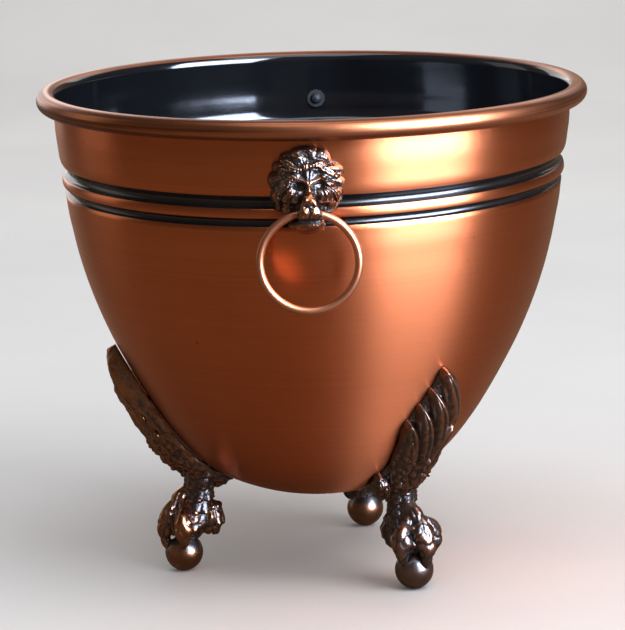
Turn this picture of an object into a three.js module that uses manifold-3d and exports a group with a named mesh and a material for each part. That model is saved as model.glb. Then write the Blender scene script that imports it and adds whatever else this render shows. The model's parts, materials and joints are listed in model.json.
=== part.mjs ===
// A copper planter: a spun sheet bowl with a rolled rim and two dark coves under its neck band.
// It stands on three cast feet, each a feathered wing above a claw that grips a ball.
// A cast lion mask at the front and another at the back each hold a freely hanging ring.
//
// Units are millimetres and +Z is up. The origin is on the floor, under the bowl's axis.
// The front mask faces -Y. An azimuth is measured from -Y towards +X.

import * as THREE from 'three';
import { mergeVertices } from 'three/addons/utils/BufferGeometryUtils.js';
import Module from 'manifold-3d';

const wasm = await Module();
wasm.setup();

// ---------------------------------------------------------------- driving dimensions

const SHEET = 1.0; // thickness of the spun sheet
const BOWL_FACETS = 36;
const TOUCH_GAP = 0.4; // clearance kept between pieces that bear on each other
const SLIVER = 0.02; // cut corners closer than this are welded
const FACET_PHASE = 0.13; // turn of an ellipsoid's facets, so that no two pieces' edges line up

const BEAD_CENTRE_R = 110.45; // rolled rim, radius of its centre circle
const BEAD_CENTRE_Z = 201.9;
const BEAD_R = 4.05; // outer radius of the roll
const BEAD_END_DEG = -128; // where the rolled edge stops, short of the wall

const BASE_Z = 34; // height of the flat base above the floor
const BASE_FLAT_R = 14;

const FOOT_AZIMUTHS = { foot_right: 41.4, foot_rear: 161.4, foot_left: -78.6 };
const BALL_R = 8.05;
const BALL_S = 59.3; // distance of a ball's centre from the bowl's axis
const BALL_FLAT = 0.2; // depth of the flat worn on a ball's underside
const BALL_Z = BALL_R - BALL_FLAT;
const FOOT_SCREW_Z = { lower: 47, upper: 76 }; // heights where the foot screws cross the wall

const MASK_Z = 182; // middle of the mane
const MASK_HALF_W = 15.2;
const MASK_HALF_H = 13.8;
const MASK_SCREW_Z = 185.2;

const RING_R = 19.2; // centre line of the ring
const RING_WIRE_R = 1.6;
const PIVOT_R = 112.5; // distance of a ring's pivot line from the bowl's axis
const PIVOT_Z = 170.1;
const MOUTH_CLEARANCE = 0.45;

const SHANK_R = 1.5;
const HEAD_R = 2.5;
const HEAD_H = 1.5;
const WASHER_R = 4.0;
const WASHER_T = 0.6;
const WASHER_GAP = 0.65; // room for the wall's curve behind a flat washer

// ---------------------------------------------------------------- materials

const metal = (color, roughness) => new THREE.MeshStandardMaterial({ color, roughness, metalness: 1 });
const copper = () => metal(0xa8623c, 0.32);
const antique = () => metal(0x4a3426, 0.3);
const darkSteel = () => metal(0x1c1d20, 0.4);

// ---------------------------------------------------------------- solids and meshes

/** Corners that fall together become one, and the triangles that shrink to nothing there go. */
function welded(geometry, tolerance) {
  const bare = geometry.clone();
  bare.deleteAttribute('normal');
  bare.deleteAttribute('uv');
  const merged = mergeVertices(bare, tolerance);
  const corners = merged.index.array;
  const kept = [];
  for (let i = 0; i < corners.length; i += 3) {
    const [a, b, c] = [corners[i], corners[i + 1], corners[i + 2]];
    if (a !== b && b !== c && c !== a) kept.push(a, b, c);
  }
  merged.setIndex(kept);
  return merged;
}

/** A closed geometry as a solid. */
function toSolid(geometry) {
  const closed = welded(geometry, 1e-4);
  return new wasm.Manifold(
    new wasm.Mesh({
      numProp: 3,
      vertProperties: new Float32Array(closed.attributes.position.array),
      triVerts: new Uint32Array(closed.index.array),
    }),
  );
}

/** A solid as a plain geometry, with the slivers left by cutting welded shut. */
function toGeometry(solid) {
  const mesh = solid.getMesh();
  const geometry = new THREE.BufferGeometry();
  geometry.setAttribute('position', new THREE.BufferAttribute(new Float32Array(mesh.vertProperties), 3));
  geometry.setIndex(new THREE.BufferAttribute(new Uint32Array(mesh.triVerts), 1));
  return welded(geometry, SLIVER);
}

function union(solids) {
  return solids.reduce((sum, next) => sum.add(next));
}

function named(name, geometry, material) {
  const mesh = new THREE.Mesh(geometry, material);
  mesh.name = name;
  return mesh;
}

/** A profile of [radius, height] points turned about +Z. A closed profile runs counter-clockwise. */
function turned(profile, facets, closed = false) {
  const points = profile.map(([r, z]) => new THREE.Vector2(r, z));
  if (closed) points.push(points[0].clone());
  return new THREE.LatheGeometry(points, facets).rotateX(Math.PI / 2);
}

function ellipsoid(centre, semiAxes, around = 10, along = 7) {
  return new THREE.SphereGeometry(1, around, along)
    .rotateX(Math.PI / 2)
    .rotateZ(FACET_PHASE)
    .scale(...semiAxes)
    .translate(...centre);
}

/**
 * A closed solid over a grid: surface(u, v, side) gives a point for u and v in 0..1,
 * with side 1 on the outer face and 0 on the inner face, and the rim joins the two.
 */
function slab(surface, columns, rows) {
  const stride = columns + 1;
  const layer = stride * (rows + 1);
  const positions = [];
  for (const side of [1, 0]) {
    for (let j = 0; j <= rows; j += 1) {
      for (let i = 0; i <= columns; i += 1) {
        positions.push(...surface(i / columns, j / rows, side));
      }
    }
  }
  const index = [];
  const quad = (a, b, c, d) => index.push(a, b, c, a, c, d);
  for (let j = 0; j < rows; j += 1) {
    for (let i = 0; i < columns; i += 1) {
      const a = j * stride + i;
      quad(a, a + 1, a + 1 + stride, a + stride);
      quad(layer + a + stride, layer + a + 1 + stride, layer + a + 1, layer + a);
    }
  }
  for (let i = 0; i < columns; i += 1) {
    const top = rows * stride + i;
    quad(layer + i, layer + i + 1, i + 1, i);
    quad(top, top + 1, layer + top + 1, layer + top);
  }
  for (let j = 0; j < rows; j += 1) {
    const left = j * stride;
    const right = left + columns;
    quad(left, left + stride, layer + left + stride, layer + left);
    quad(layer + right, layer + right + stride, right + stride, right);
  }
  const geometry = new THREE.BufferGeometry();
  geometry.setAttribute('position', new THREE.Float32BufferAttribute(positions, 3));
  geometry.setIndex(index);
  return geometry;
}

// ---------------------------------------------------------------- the bowl's outer face

/** Main body, from the base up to the shoulder: a bullet shape that rounds in under the feet. */
const BODY = [
  [BASE_FLAT_R, BASE_Z],
  [22, 35.0],
  [34, 38.8],
  [46.9, 45.2],
  [56.8, 54.2],
  [66.3, 66.5],
  [75.6, 81.5],
  [83.9, 97.3],
  [91.2, 113.6],
  [97.0, 130.5],
  [101.2, 148],
  [103.3, 159],
  [103.6, 162.2],
];

/** Neck, upwards: lower cove, rounded copper bead, upper cove, then the slightly bellied band. */
const NECK = [
  [103.0, 163.2],
  [102.3, 164.1],
  [102.5, 164.9],
  [103.7, 165.5],
  [104.5, 166.8],
  [104.6, 168.4],
  [104.2, 169.9],
  [103.2, 170.7],
  [102.2, 171.4],
  [102.3, 172.4],
  [103.4, 173.2],
  [104.6, 174.8],
  [105.7, 178.2],
  [106.6, 185],
  [107.2, 198],
];

/** The face of the sheet inside the roll, from the wall over the top to the free edge. */
function beadCavity() {
  const points = [];
  const steps = 10;
  for (let i = 0; i <= steps; i += 1) {
    const angle = THREE.MathUtils.degToRad(180 + ((BEAD_END_DEG - 180) * i) / steps);
    const r = BEAD_R - SHEET;
    points.push([BEAD_CENTRE_R + r * Math.cos(angle), BEAD_CENTRE_Z + r * Math.sin(angle)]);
  }
  return points;
}

const OUTER_FACE = [...BODY, ...NECK];

/** The polyline moved sideways by a distance, to its left as it is walked, with mitred corners. */
function offsetLeft(points, distance) {
  return points.map(([x, y], i) => {
    const [px, py] = points[Math.max(i - 1, 0)];
    const [nx, ny] = points[Math.min(i + 1, points.length - 1)];
    const into = new THREE.Vector2(x - px, y - py).normalize();
    const out = new THREE.Vector2(nx - x, ny - y).normalize();
    const along = into.clone().add(out).normalize();
    const bend = i > 0 && i < points.length - 1 ? Math.sqrt((1 + into.dot(out)) / 2) : 1;
    const reach = distance / bend;
    return [x - along.y * reach, y + along.x * reach];
  });
}

/** Point on the outer face at a height, with the outward normal, both as [radial, up]. */
function wallAt(z) {
  const i = Math.max(1, OUTER_FACE.findIndex((point) => point[1] >= z));
  const [r0, z0] = OUTER_FACE[i - 1];
  const [r1, z1] = OUTER_FACE[i];
  const length = Math.hypot(r1 - r0, z1 - z0);
  return {
    r: r0 + ((r1 - r0) * (z - z0)) / (z1 - z0),
    z,
    normal: [(z1 - z0) / length, (r0 - r1) / length],
  };
}

/** A turned tool placed on the wall at an azimuth of 0: its +Z axis points out of the wall. */
function onWall(geometry, z) {
  const { r, normal } = wallAt(z);
  const outward = new THREE.Vector3(0, -normal[0], normal[1]);
  const turn = new THREE.Quaternion().setFromUnitVectors(new THREE.Vector3(0, 0, 1), outward);
  return geometry.applyQuaternion(turn).translate(0, -r, z);
}

function screwHole(z, depth) {
  const length = depth + 6;
  const drill = new THREE.CylinderGeometry(SHANK_R + 0.4, SHANK_R + 0.4, length, 9);
  return onWall(drill.rotateX(Math.PI / 2).translate(0, 0, depth - length / 2), z);
}

/** Every fixing: the foot screws, at each foot's azimuth, and one screw behind each mask. */
const FIXINGS = [
  { name: 'mask_front', azimuth: 0, z: MASK_SCREW_Z, depth: 4.6 },
  { name: 'mask_rear', azimuth: 180, z: MASK_SCREW_Z, depth: 4.6 },
];
for (const [foot, azimuth] of Object.entries(FOOT_AZIMUTHS)) {
  for (const [place, z] of Object.entries(FOOT_SCREW_Z)) {
    FIXINGS.push({ name: `${foot}_${place}`, azimuth, z, depth: 5.4 });
  }
}

// ---------------------------------------------------------------- bowl

function bowlGeometry() {
  const face = [[0, BASE_Z], ...OUTER_FACE, ...beadCavity()];
  const inside = offsetLeft(face, SHEET);
  inside[0] = [0, BASE_Z + SHEET];
  const profile = [...face, ...inside.reverse()];
  let bowl = toSolid(turned(profile, BOWL_FACETS));
  for (const { azimuth, z } of FIXINGS) {
    const drill = screwHole(z, 3).rotateZ(THREE.MathUtils.degToRad(azimuth));
    bowl = bowl.subtract(toSolid(drill));
  }
  return toGeometry(bowl);
}

// ---------------------------------------------------------------- fixings

/** Round-headed screw whose shank passes out through the wall; the head is inside the bowl. */
function screwGeometry(z, depth) {
  const seat = -SHEET - WASHER_GAP - WASHER_T - 0.3; // underside of the head, from the outer face
  const profile = [
    [0, seat - HEAD_H],
    [HEAD_R * 0.7, seat - HEAD_H * 0.75],
    [HEAD_R, seat],
    [SHANK_R, seat],
    [SHANK_R, depth - 0.4],
    [0, depth - 0.4],
  ];
  return onWall(turned(profile, 9), z);
}

function washerGeometry(z) {
  const top = -SHEET - WASHER_GAP;
  const profile = [
    [SHANK_R + 0.3, top - WASHER_T],
    [WASHER_R, top - WASHER_T],
    [WASHER_R, top],
    [SHANK_R + 0.3, top],
  ];
  return onWall(turned(profile, 10, true), z);
}

// ---------------------------------------------------------------- lion mask

const bump = (x, y, cx, cy, wx, wy) => Math.exp(-(((x - cx) / wx) ** 2) - ((y - cy) / wy) ** 2);

/** Relief of the mask in mm above its backing, at x across and y above the mane's middle. */
function relief(x, y) {
  const rho = Math.min(1, Math.hypot(x / MASK_HALF_W, y / MASK_HALF_H));
  const around = Math.atan2(x / MASK_HALF_W, y / MASK_HALF_H);
  const side = Math.abs(x);
  const dome = 2.6 + 4.2 * (1 - rho ** 2.4);
  const mane = 0.9 * rho ** 1.3 * Math.cos(11 * around + 5 * rho * Math.sign(x));
  const face = 4.4 * bump(x, y, 0, -2.5, 6.2, 8.5);
  const brow = 1.3 * bump(side, y, 3.8, 2.6, 2.4, 1.5);
  const eye = -1.7 * bump(side, y, 4.1, -0.2, 1.7, 1.2);
  const bridge = 2.6 * bump(x, y, 0, -3.5, 2.3, 4.6);
  return dome + mane + face + brow + eye + bridge;
}

/** The mane and face, from a flat back inside the bowl's radius out to the relief. */
function maneGeometry() {
  const back = 98;
  const surface = (u, v, side) => {
    const angle = u * 2 * Math.PI + FACET_PHASE / 2;
    const x = MASK_HALF_W * v * Math.sin(angle);
    const y = MASK_HALF_H * v * Math.cos(angle);
    const wall = Math.sqrt(106.2 ** 2 - x ** 2) + 0.045 * y;
    return [x, side ? -(wall + relief(x, y)) : -back, MASK_Z + y];
  };
  return slab(surface, 26, 6);
}

/** The bowl's neck with its coves filled and the touching gap added. */
function neckEnvelope() {
  const face = [
    [104.0, 150],
    [104.3, 160],
    [104.8, 168],
    [105.6, 176],
    [106.7, 184],
    [107.3, 192],
    [107.4, 199],
  ];
  const profile = face.map(([r, z]) => [r + TOUCH_GAP, z]);
  return toSolid(turned([[0, 150], ...profile, [0, 199]], BOWL_FACETS));
}

/** The space that the ring's wire sweeps in the mouth, turned about the pivot line. */
function mouthSweep() {
  const reach = 7.5;
  const steps = 6;
  const profile = [[0, -reach]];
  for (let i = 0; i <= steps; i += 1) {
    const x = -reach + (2 * reach * i) / steps;
    const sag = RING_R - Math.sqrt(RING_R ** 2 - x ** 2);
    profile.push([sag + RING_WIRE_R + MOUTH_CLEARANCE, x]);
  }
  profile.push([0, reach]);
  return toSolid(turned(profile, 12).rotateY(Math.PI / 2).translate(0, -PIVOT_R, PIVOT_Z));
}

function maskGeometry() {
  const muzzle = toSolid(ellipsoid([0, -111.6, 171.4], [5.6, 7.2, 6.2]));
  const jaw = toSolid(ellipsoid([0, -107.2, 165.6], [6.4, 5.4, 4.6]));
  const body = union([toSolid(maneGeometry()), muzzle, jaw]);
  return toGeometry(
    body
      .subtract(neckEnvelope())
      .subtract(mouthSweep())
      .subtract(toSolid(screwHole(MASK_SCREW_Z, 5))),
  );
}

function ringGeometry() {
  return new THREE.TorusGeometry(RING_R, RING_WIRE_R, 8, 24)
    .rotateX(Math.PI / 2)
    .translate(0, -PIVOT_R, PIVOT_Z - RING_R);
}

// ---------------------------------------------------------------- claw-and-ball foot

/** Wing outline at heights up the wall: left edge, right edge, crest thickness. */
const WING = [
  { z: 40.6, left: -9, right: 7, crest: 3.4 },
  { z: 44, left: -11.5, right: 9, crest: 6.8 },
  { z: 48.5, left: -12.2, right: 11, crest: 9.4 },
  { z: 55, left: -11, right: 11.6, crest: 10.1 },
  { z: 63, left: -11.4, right: 11.4, crest: 9.9 },
  { z: 71, left: -12.8, right: 11.4, crest: 10 },
  { z: 77, left: -13.2, right: 10.6, crest: 9.8 },
  { z: 83, left: -11.6, right: 8.8, crest: 9.4 },
  { z: 89, left: -9.4, right: 6, crest: 8 },
  { z: 94.5, left: -7.6, right: 2.6, crest: 6 },
  { z: 99, left: -5.6, right: -0.8, crest: 3.8 },
];

function wingAt(v) {
  const place = v * (WING.length - 1);
  const i = Math.min(Math.floor(place), WING.length - 2);
  const mix = (key) => THREE.MathUtils.lerp(WING[i][key], WING[i + 1][key], place - i);
  return { z: mix('z'), left: mix('left'), right: mix('right'), crest: mix('crest') };
}

/** The feathered wing: a leaf that hugs the bowl, thin at its edges and fluted along its length. */
function wingGeometry() {
  const surface = (u, v, side) => {
    const { z, left, right, crest } = wingAt(v);
    const wall = wallAt(z);
    const across = 2 * u - 1;
    const t = THREE.MathUtils.lerp(left, right, u);
    const flute = 0.35 * Math.cos(3.5 * Math.PI * across) * (1 - across ** 2);
    const edge = Math.min(1.6, crest);
    const thickness = edge + (crest - edge) * (1 - Math.abs(across) ** 2.2) + flute;
    const lift = 1.2 * Math.max(0, (v - 0.75) / 0.25) + (side ? TOUCH_GAP + thickness : 0);
    const radial = wall.r + wall.normal[0] * lift;
    const angle = t / (wall.r + 4);
    return [
      radial * Math.sin(angle),
      -radial * Math.cos(angle),
      z + wall.normal[1] * lift,
    ];
  };
  return slab(surface, 8, 10);
}

/** One toe: a bent bar from the top of the paw down over the ball, ending in a blunt claw. */
function toeSolids(spread) {
  const alpha = THREE.MathUtils.degToRad(spread);
  const arc = [
    [3.5, 29],
    [8.0, 26.5],
    [9.6, 20],
    [9.0, 14],
    [7.4, 9.6],
  ];
  const at = ([out, z]) =>
    new THREE.Vector3(out * Math.sin(alpha), -(BALL_S - 1.4) - out * Math.cos(alpha), z);
  const path = new THREE.CatmullRomCurve3(arc.map(at));
  const section = new THREE.Shape();
  section.absarc(0, 0, 2.7, 0, 2 * Math.PI);
  const bar = new THREE.ExtrudeGeometry(section, {
    steps: 5,
    curveSegments: 6,
    extrudePath: path,
  });
  const tip = at(arc[arc.length - 1]);
  return [toSolid(bar), toSolid(ellipsoid(tip.toArray(), [2.9, 2.9, 2.9], 7, 5))];
}

/** The bowl's body grown by the touching gap, its facets placed as a foot at this azimuth meets them. */
function bodyEnvelope(azimuth) {
  const grown = offsetLeft([[0, BASE_Z], ...BODY], -TOUCH_GAP);
  grown[0] = [0, BASE_Z - TOUCH_GAP];
  const [, topZ] = grown[grown.length - 1];
  const solid = turned([...grown, [0, topZ]], BOWL_FACETS);
  return toSolid(solid.rotateZ(THREE.MathUtils.degToRad(-azimuth)));
}

function footGeometry(azimuth) {
  const wing = toSolid(wingGeometry());
  const leg = toSolid(turned([[0, 22], [6.6, 22], [6.3, 32], [6.6, 37], [7.6, 41.5], [0, 41.5]], 10)
    .translate(0, -52.3, 0));
  const paw = toSolid(ellipsoid([0, -57.6, 21.6], [9.2, 9.6, 8.8]));
  const spur = toSolid(ellipsoid([0, -47, 22], [5.4, 5.8, 7.2], 9, 6));
  const ball = toSolid(ellipsoid([0, -BALL_S, BALL_Z], [BALL_R, BALL_R, BALL_R], 18, 11));
  const toes = [-68, 0, 74].flatMap(toeSolids);
  const floor = toSolid(new THREE.BoxGeometry(80, 80, 20).translate(0, -BALL_S, -10));
  let foot = union([wing, leg, paw, spur, ball, ...toes]);
  foot = foot.subtract(floor).subtract(bodyEnvelope(azimuth));
  for (const z of Object.values(FOOT_SCREW_Z)) {
    foot = foot.subtract(toSolid(screwHole(z, 6)));
  }
  return toGeometry(foot);
}

// ---------------------------------------------------------------- assembly

const planter = new THREE.Group();
planter.add(named('bowl', bowlGeometry(), copper()));

for (const [place, azimuth] of [['front', 0], ['rear', 180]]) {
  const side = new THREE.Group();
  side.rotation.z = THREE.MathUtils.degToRad(azimuth);
  side.add(named(`lion_mask_${place}`, maskGeometry(), antique()));
  side.add(named(`ring_${place}`, ringGeometry(), copper()));
  planter.add(side);
}

for (const [name, azimuth] of Object.entries(FOOT_AZIMUTHS)) {
  const foot = named(name, footGeometry(azimuth), antique());
  foot.rotation.z = THREE.MathUtils.degToRad(azimuth);
  planter.add(foot);
}

for (const { name, azimuth, z, depth } of FIXINGS) {
  const fixing = new THREE.Group();
  fixing.rotation.z = THREE.MathUtils.degToRad(azimuth);
  fixing.add(named(`${name}_screw`, screwGeometry(z, depth), darkSteel()));
  fixing.add(named(`${name}_washer`, washerGeometry(z), darkSteel()));
  planter.add(fixing);
}

export default planter;
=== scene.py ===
"""Footed copper planter: spun bowl, rolled rim, dark coves, lion masks with rings, claw-and-ball feet.

Lengths are in millimetres until a mesh is written, and metres from there on. The pot's axis is the
Z axis, the front mask faces -Y, and an azimuth is measured from -Y towards +X.
"""

import json
import logging
import math
from dataclasses import dataclass, field
from enum import Enum

import bpy
import numpy as np
from mathutils import Matrix, Vector

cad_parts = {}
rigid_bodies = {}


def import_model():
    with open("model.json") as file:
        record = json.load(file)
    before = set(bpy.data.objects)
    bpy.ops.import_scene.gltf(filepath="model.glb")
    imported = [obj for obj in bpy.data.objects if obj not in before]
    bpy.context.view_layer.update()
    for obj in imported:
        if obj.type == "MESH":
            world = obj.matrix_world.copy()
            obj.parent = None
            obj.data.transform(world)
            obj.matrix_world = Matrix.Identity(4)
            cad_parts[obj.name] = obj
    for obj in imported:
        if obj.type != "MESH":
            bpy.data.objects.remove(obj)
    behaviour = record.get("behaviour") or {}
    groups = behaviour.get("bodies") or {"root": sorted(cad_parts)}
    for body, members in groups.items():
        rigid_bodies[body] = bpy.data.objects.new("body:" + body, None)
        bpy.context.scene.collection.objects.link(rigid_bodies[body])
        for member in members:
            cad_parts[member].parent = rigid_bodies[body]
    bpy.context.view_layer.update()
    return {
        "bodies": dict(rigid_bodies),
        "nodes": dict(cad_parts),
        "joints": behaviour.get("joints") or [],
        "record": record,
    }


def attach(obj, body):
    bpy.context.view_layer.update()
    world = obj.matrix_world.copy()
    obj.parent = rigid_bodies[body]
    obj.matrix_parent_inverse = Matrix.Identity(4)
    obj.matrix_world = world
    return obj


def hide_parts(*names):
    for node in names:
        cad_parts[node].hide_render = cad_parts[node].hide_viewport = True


Array = np.ndarray
MM = 0.001
TAU = 2.0 * math.pi
# Painted reflection: in glossy rays the floor is painted this much darker and warmed by this tint.
PAINTED_REFLECTION_DIM = 0.25
PAINTED_REFLECTION_TINT = (1.25, 0.9, 0.6)
log = logging.getLogger("planter")


# ---------------------------------------------------------------- shapes in numbers


def smooth_step(low: float, high: float, value: Array) -> Array:
    """Ease from 0 at low to 1 at high.

    Formula: t is value scaled to 0..1 between the two, and the result is 3t squared minus 2t cubed.

    Args:
        low: value where the step starts.
        high: value where it ends.
        value: numbers to ease.

    Returns:
        The eased numbers.
    """
    t = np.clip((value - low) / (high - low), 0.0, 1.0)
    return t * t * (3.0 - 2.0 * t)


def knob(x: Array, y: Array, centre: tuple[float, float], size: tuple[float, float],
         turn: float = 0.0) -> Array:
    """Soft round bump of height 1.

    Formula: e to the minus half the squared distance, measured in widths along turned axes.

    Args:
        x, y: place on the surface.
        centre: top of the bump.
        size: its width along its own two axes.
        turn: how far its axes are turned, in degrees.

    Returns:
        Height of the bump at each place.
    """
    c, s = math.cos(math.radians(turn)), math.sin(math.radians(turn))
    dx, dy = x - centre[0], y - centre[1]
    return np.exp(-0.5 * (((c * dx + s * dy) / size[0]) ** 2 + ((c * dy - s * dx) / size[1]) ** 2))


def lumps(points: Array, size: float, seed: int, waves: int = 16) -> Array:
    """Irregular lumps of about unit height.

    Formula: a sum of sine waves that run in random directions, with lengths near size.

    Args:
        points: places, with x, y and z along the last axis.
        size: typical distance between lumps.
        seed: which set of waves.
        waves: how many waves are summed.

    Returns:
        One number for each place.
    """
    draw = np.random.default_rng(seed)
    heading = draw.normal(size=(waves, 3))
    heading *= (TAU / size) * draw.uniform(0.6, 1.7, (waves, 1)) / np.linalg.norm(
        heading, axis=1, keepdims=True)
    return np.sin(points @ heading.T + draw.uniform(0.0, TAU, waves)).sum(-1) * math.sqrt(2.0 / waves)


def creases(points: Array, size: float, seed: int) -> Array:
    """Rounded lumps with sharp valleys between them, 0 in a valley and up to about 1 on a lump.

    Formula: the square root of the size of the lumps' value.
    """
    return np.sqrt(np.abs(lumps(points, size, seed)) / 1.6)


def curve_through(knots: list[tuple[float, ...]], count: int) -> Array:
    """Smooth path through given points.

    Formula: a Catmull-Rom cubic between each pair of points, with slopes taken over the chord
    lengths on both sides, sampled at equal steps of chord length.

    Args:
        knots: points in order.
        count: how many samples to take.

    Returns:
        count points on the path, first and last knot included.
    """
    p = np.asarray(knots, float)
    chord = np.concatenate([[0.0], np.cumsum(np.linalg.norm(np.diff(p, axis=0), axis=1))])
    slope = np.gradient(p, chord, axis=0)
    at = np.linspace(0.0, chord[-1], count)
    k = np.clip(np.searchsorted(chord, at, side="right") - 1, 0, len(p) - 2)
    span = (chord[k + 1] - chord[k])[:, None]
    t = (at - chord[k])[:, None] / span
    return ((2 * t**3 - 3 * t**2 + 1) * p[k] + (t**3 - 2 * t**2 + t) * span * slope[k]
            + (3 * t**2 - 2 * t**3) * p[k + 1] + (t**3 - t**2) * span * slope[k + 1])


def once_round(count: int) -> Array:
    """Angles once round a circle, as one row of a grid."""
    return np.linspace(0.0, TAU, count, endpoint=False)[None, :]


def left_normals(path: Array) -> Array:
    """Unit vectors a quarter turn to the left of a flat path's direction.

    Args:
        path: points in order.

    Returns:
        One unit vector for each point.
    """
    ahead = np.gradient(path, axis=0)
    ahead /= np.linalg.norm(ahead, axis=1, keepdims=True)
    return np.stack([-ahead[:, 1], ahead[:, 0]], -1)


def proud(points: Array, rounds: int) -> Array:
    """How far each point of a grid stands out from its smoothed neighbourhood, in mm.

    Formula: the grid is averaged with its four neighbours for a number of rounds, and the move is
    measured along the surface's normal.

    Args:
        points: grid of points, closed round its columns.
        rounds: rounds of averaging, more for wider features.

    Returns:
        Positive on ridges and negative in hollows, one number for each point.
    """
    soft = points
    for _ in range(rounds):
        up = np.concatenate([soft[:1], soft[:-1]])
        down = np.concatenate([soft[1:], soft[-1:]])
        soft = (2 * soft + up + down + np.roll(soft, 1, 1) + np.roll(soft, -1, 1)) / 6.0
    along = np.gradient(points, axis=0)
    across = np.roll(points, -1, 1) - np.roll(points, 1, 1)
    normal = np.cross(along, across)
    normal /= np.linalg.norm(normal, axis=-1, keepdims=True) + 1e-9
    out = ((points - soft) * normal).sum(-1)
    centre = points.reshape(-1, 3).mean(0)
    return out * np.sign(((points - centre) * normal).sum())


@dataclass(frozen=True)
class Bump:
    """A soft bump in a relief or, where its rise is negative, a hollow.

    A paired one is made on both sides of the middle line.
    """

    rise: float
    centre: tuple[float, float]
    size: tuple[float, float]
    turn: float = 0.0
    paired: bool = False

    def height(self, x: Array, y: Array) -> Array:
        """Its height at places x across and y along the relief."""
        return self.rise * knob(np.abs(x) if self.paired else x, y, self.centre, self.size, self.turn)


@dataclass
class Sheet:
    """One closed surface: a grid of points that is closed round its columns.

    Rows either close with a pole at both ends or, for a ring, run round into each other. worn is 1
    on polished high spots and 0 in recesses, darkening takes a set share off the whole sheet's brightness,
    flow is where the brushed lines are read, and zone picks the finish of each row of faces.
    """

    points: Array
    worn: Array | float = 0.5
    darkening: Array | float = 0.0
    flow: Array | None = None
    zone: Array | int = 0
    looped: bool = False

    def faces(self) -> tuple[Array, Array]:
        """Quads of the grid and triangles of its poles, facing outwards.

        Returns:
            Corner numbers of the quads, and of the triangles.
        """
        rows, cols = self.points.shape[:2]
        index = np.arange(rows * cols).reshape(rows, cols)
        here, there = (index, np.roll(index, -1, 0)) if self.looped else (index[:-1], index[1:])
        quads = np.stack([here, np.roll(here, -1, 1), np.roll(there, -1, 1), there], -1).reshape(-1, 4)
        tris = np.zeros((0, 3), int)
        if not self.looped:
            pole = rows * cols
            first, last = index[0], index[-1]
            tris = np.concatenate([
                np.stack([np.roll(first, -1), first, np.full(cols, pole)], -1),
                np.stack([last, np.roll(last, -1), np.full(cols, pole + 1)], -1)])
        spots = self.spots(self.points)
        corner = np.concatenate([quads[:, [0, 1, 2]], quads[:, [0, 2, 3]], tris])
        a, b, c = (spots[corner[:, k]] for k in range(3))
        if (a * np.cross(b, c)).sum() < 0.0:
            quads, tris = quads[:, ::-1], tris[:, ::-1]
        return quads, tris

    def spots(self, grid: Array) -> Array:
        """The grid's values as a list, with those of the two poles at its end.

        Args:
            grid: a value for each point.

        Returns:
            The list; a looped sheet has no poles.
        """
        flat = grid.reshape(-1, *grid.shape[2:])
        if self.looped:
            return flat
        return np.concatenate([flat, grid[0].mean(0)[None], grid[-1].mean(0)[None]])

    def values(self, what: Array | float) -> Array:
        """A number for every point, from a grid of them or one for all."""
        rows, cols = self.points.shape[:2]
        return self.spots(np.broadcast_to(np.asarray(what, float), (rows, cols)))

    def zones(self) -> Array:
        """The finish number of every face.

        Returns:
            One number for each face, quads first.
        """
        rows, cols = self.points.shape[:2]
        bands = rows if self.looped else rows - 1
        band = np.broadcast_to(np.asarray(self.zone, int), (bands,))
        caps = [] if self.looped else [np.repeat(band[[0, -1]], cols)]
        return np.concatenate([np.repeat(band, cols), *caps])


def make_piece(name: str, sheets: list[Sheet], finishes: list[bpy.types.Material]) -> bpy.types.Object:
    """Write closed surfaces into one object that sits at the origin.

    Args:
        name: name of the object.
        sheets: its surfaces, in mm.
        finishes: its materials, in the order that zones number them.

    Returns:
        The new object, linked to the scene.
    """
    points, faces, zones, worn, darkening, flow, start = [], [], [], [], [], [], 0
    for sheet in sheets:
        quads, tris = sheet.faces()
        spots = sheet.spots(sheet.points)
        points.append(spots)
        faces += (quads + start).tolist() + (tris + start).tolist()
        zones.append(sheet.zones())
        worn.append(sheet.values(sheet.worn))
        darkening.append(sheet.values(sheet.darkening))
        flow.append(spots if sheet.flow is None else sheet.spots(sheet.flow))
        start += len(spots)
    mesh = bpy.data.meshes.new(name)
    mesh.from_pydata(np.concatenate(points) * MM, [], faces)
    mesh.polygons.foreach_set("material_index", np.concatenate(zones).astype(np.int32))
    for label, data in (("worn", worn), ("darkening", darkening)):
        mesh.attributes.new(label, "FLOAT", "POINT").data.foreach_set(
            "value", np.concatenate(data).astype(np.float32))
    mesh.attributes.new("flow", "FLOAT_VECTOR", "POINT").data.foreach_set(
        "vector", np.concatenate(flow).astype(np.float32).ravel())
    for finish in finishes:
        mesh.materials.append(finish)
    mesh.shade_smooth()
    mesh.update()
    piece = bpy.data.objects.new(name, mesh)
    bpy.context.scene.collection.objects.link(piece)
    log.info("%s: %d faces", name, len(mesh.polygons))
    return piece


# ---------------------------------------------------------------- node building


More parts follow.
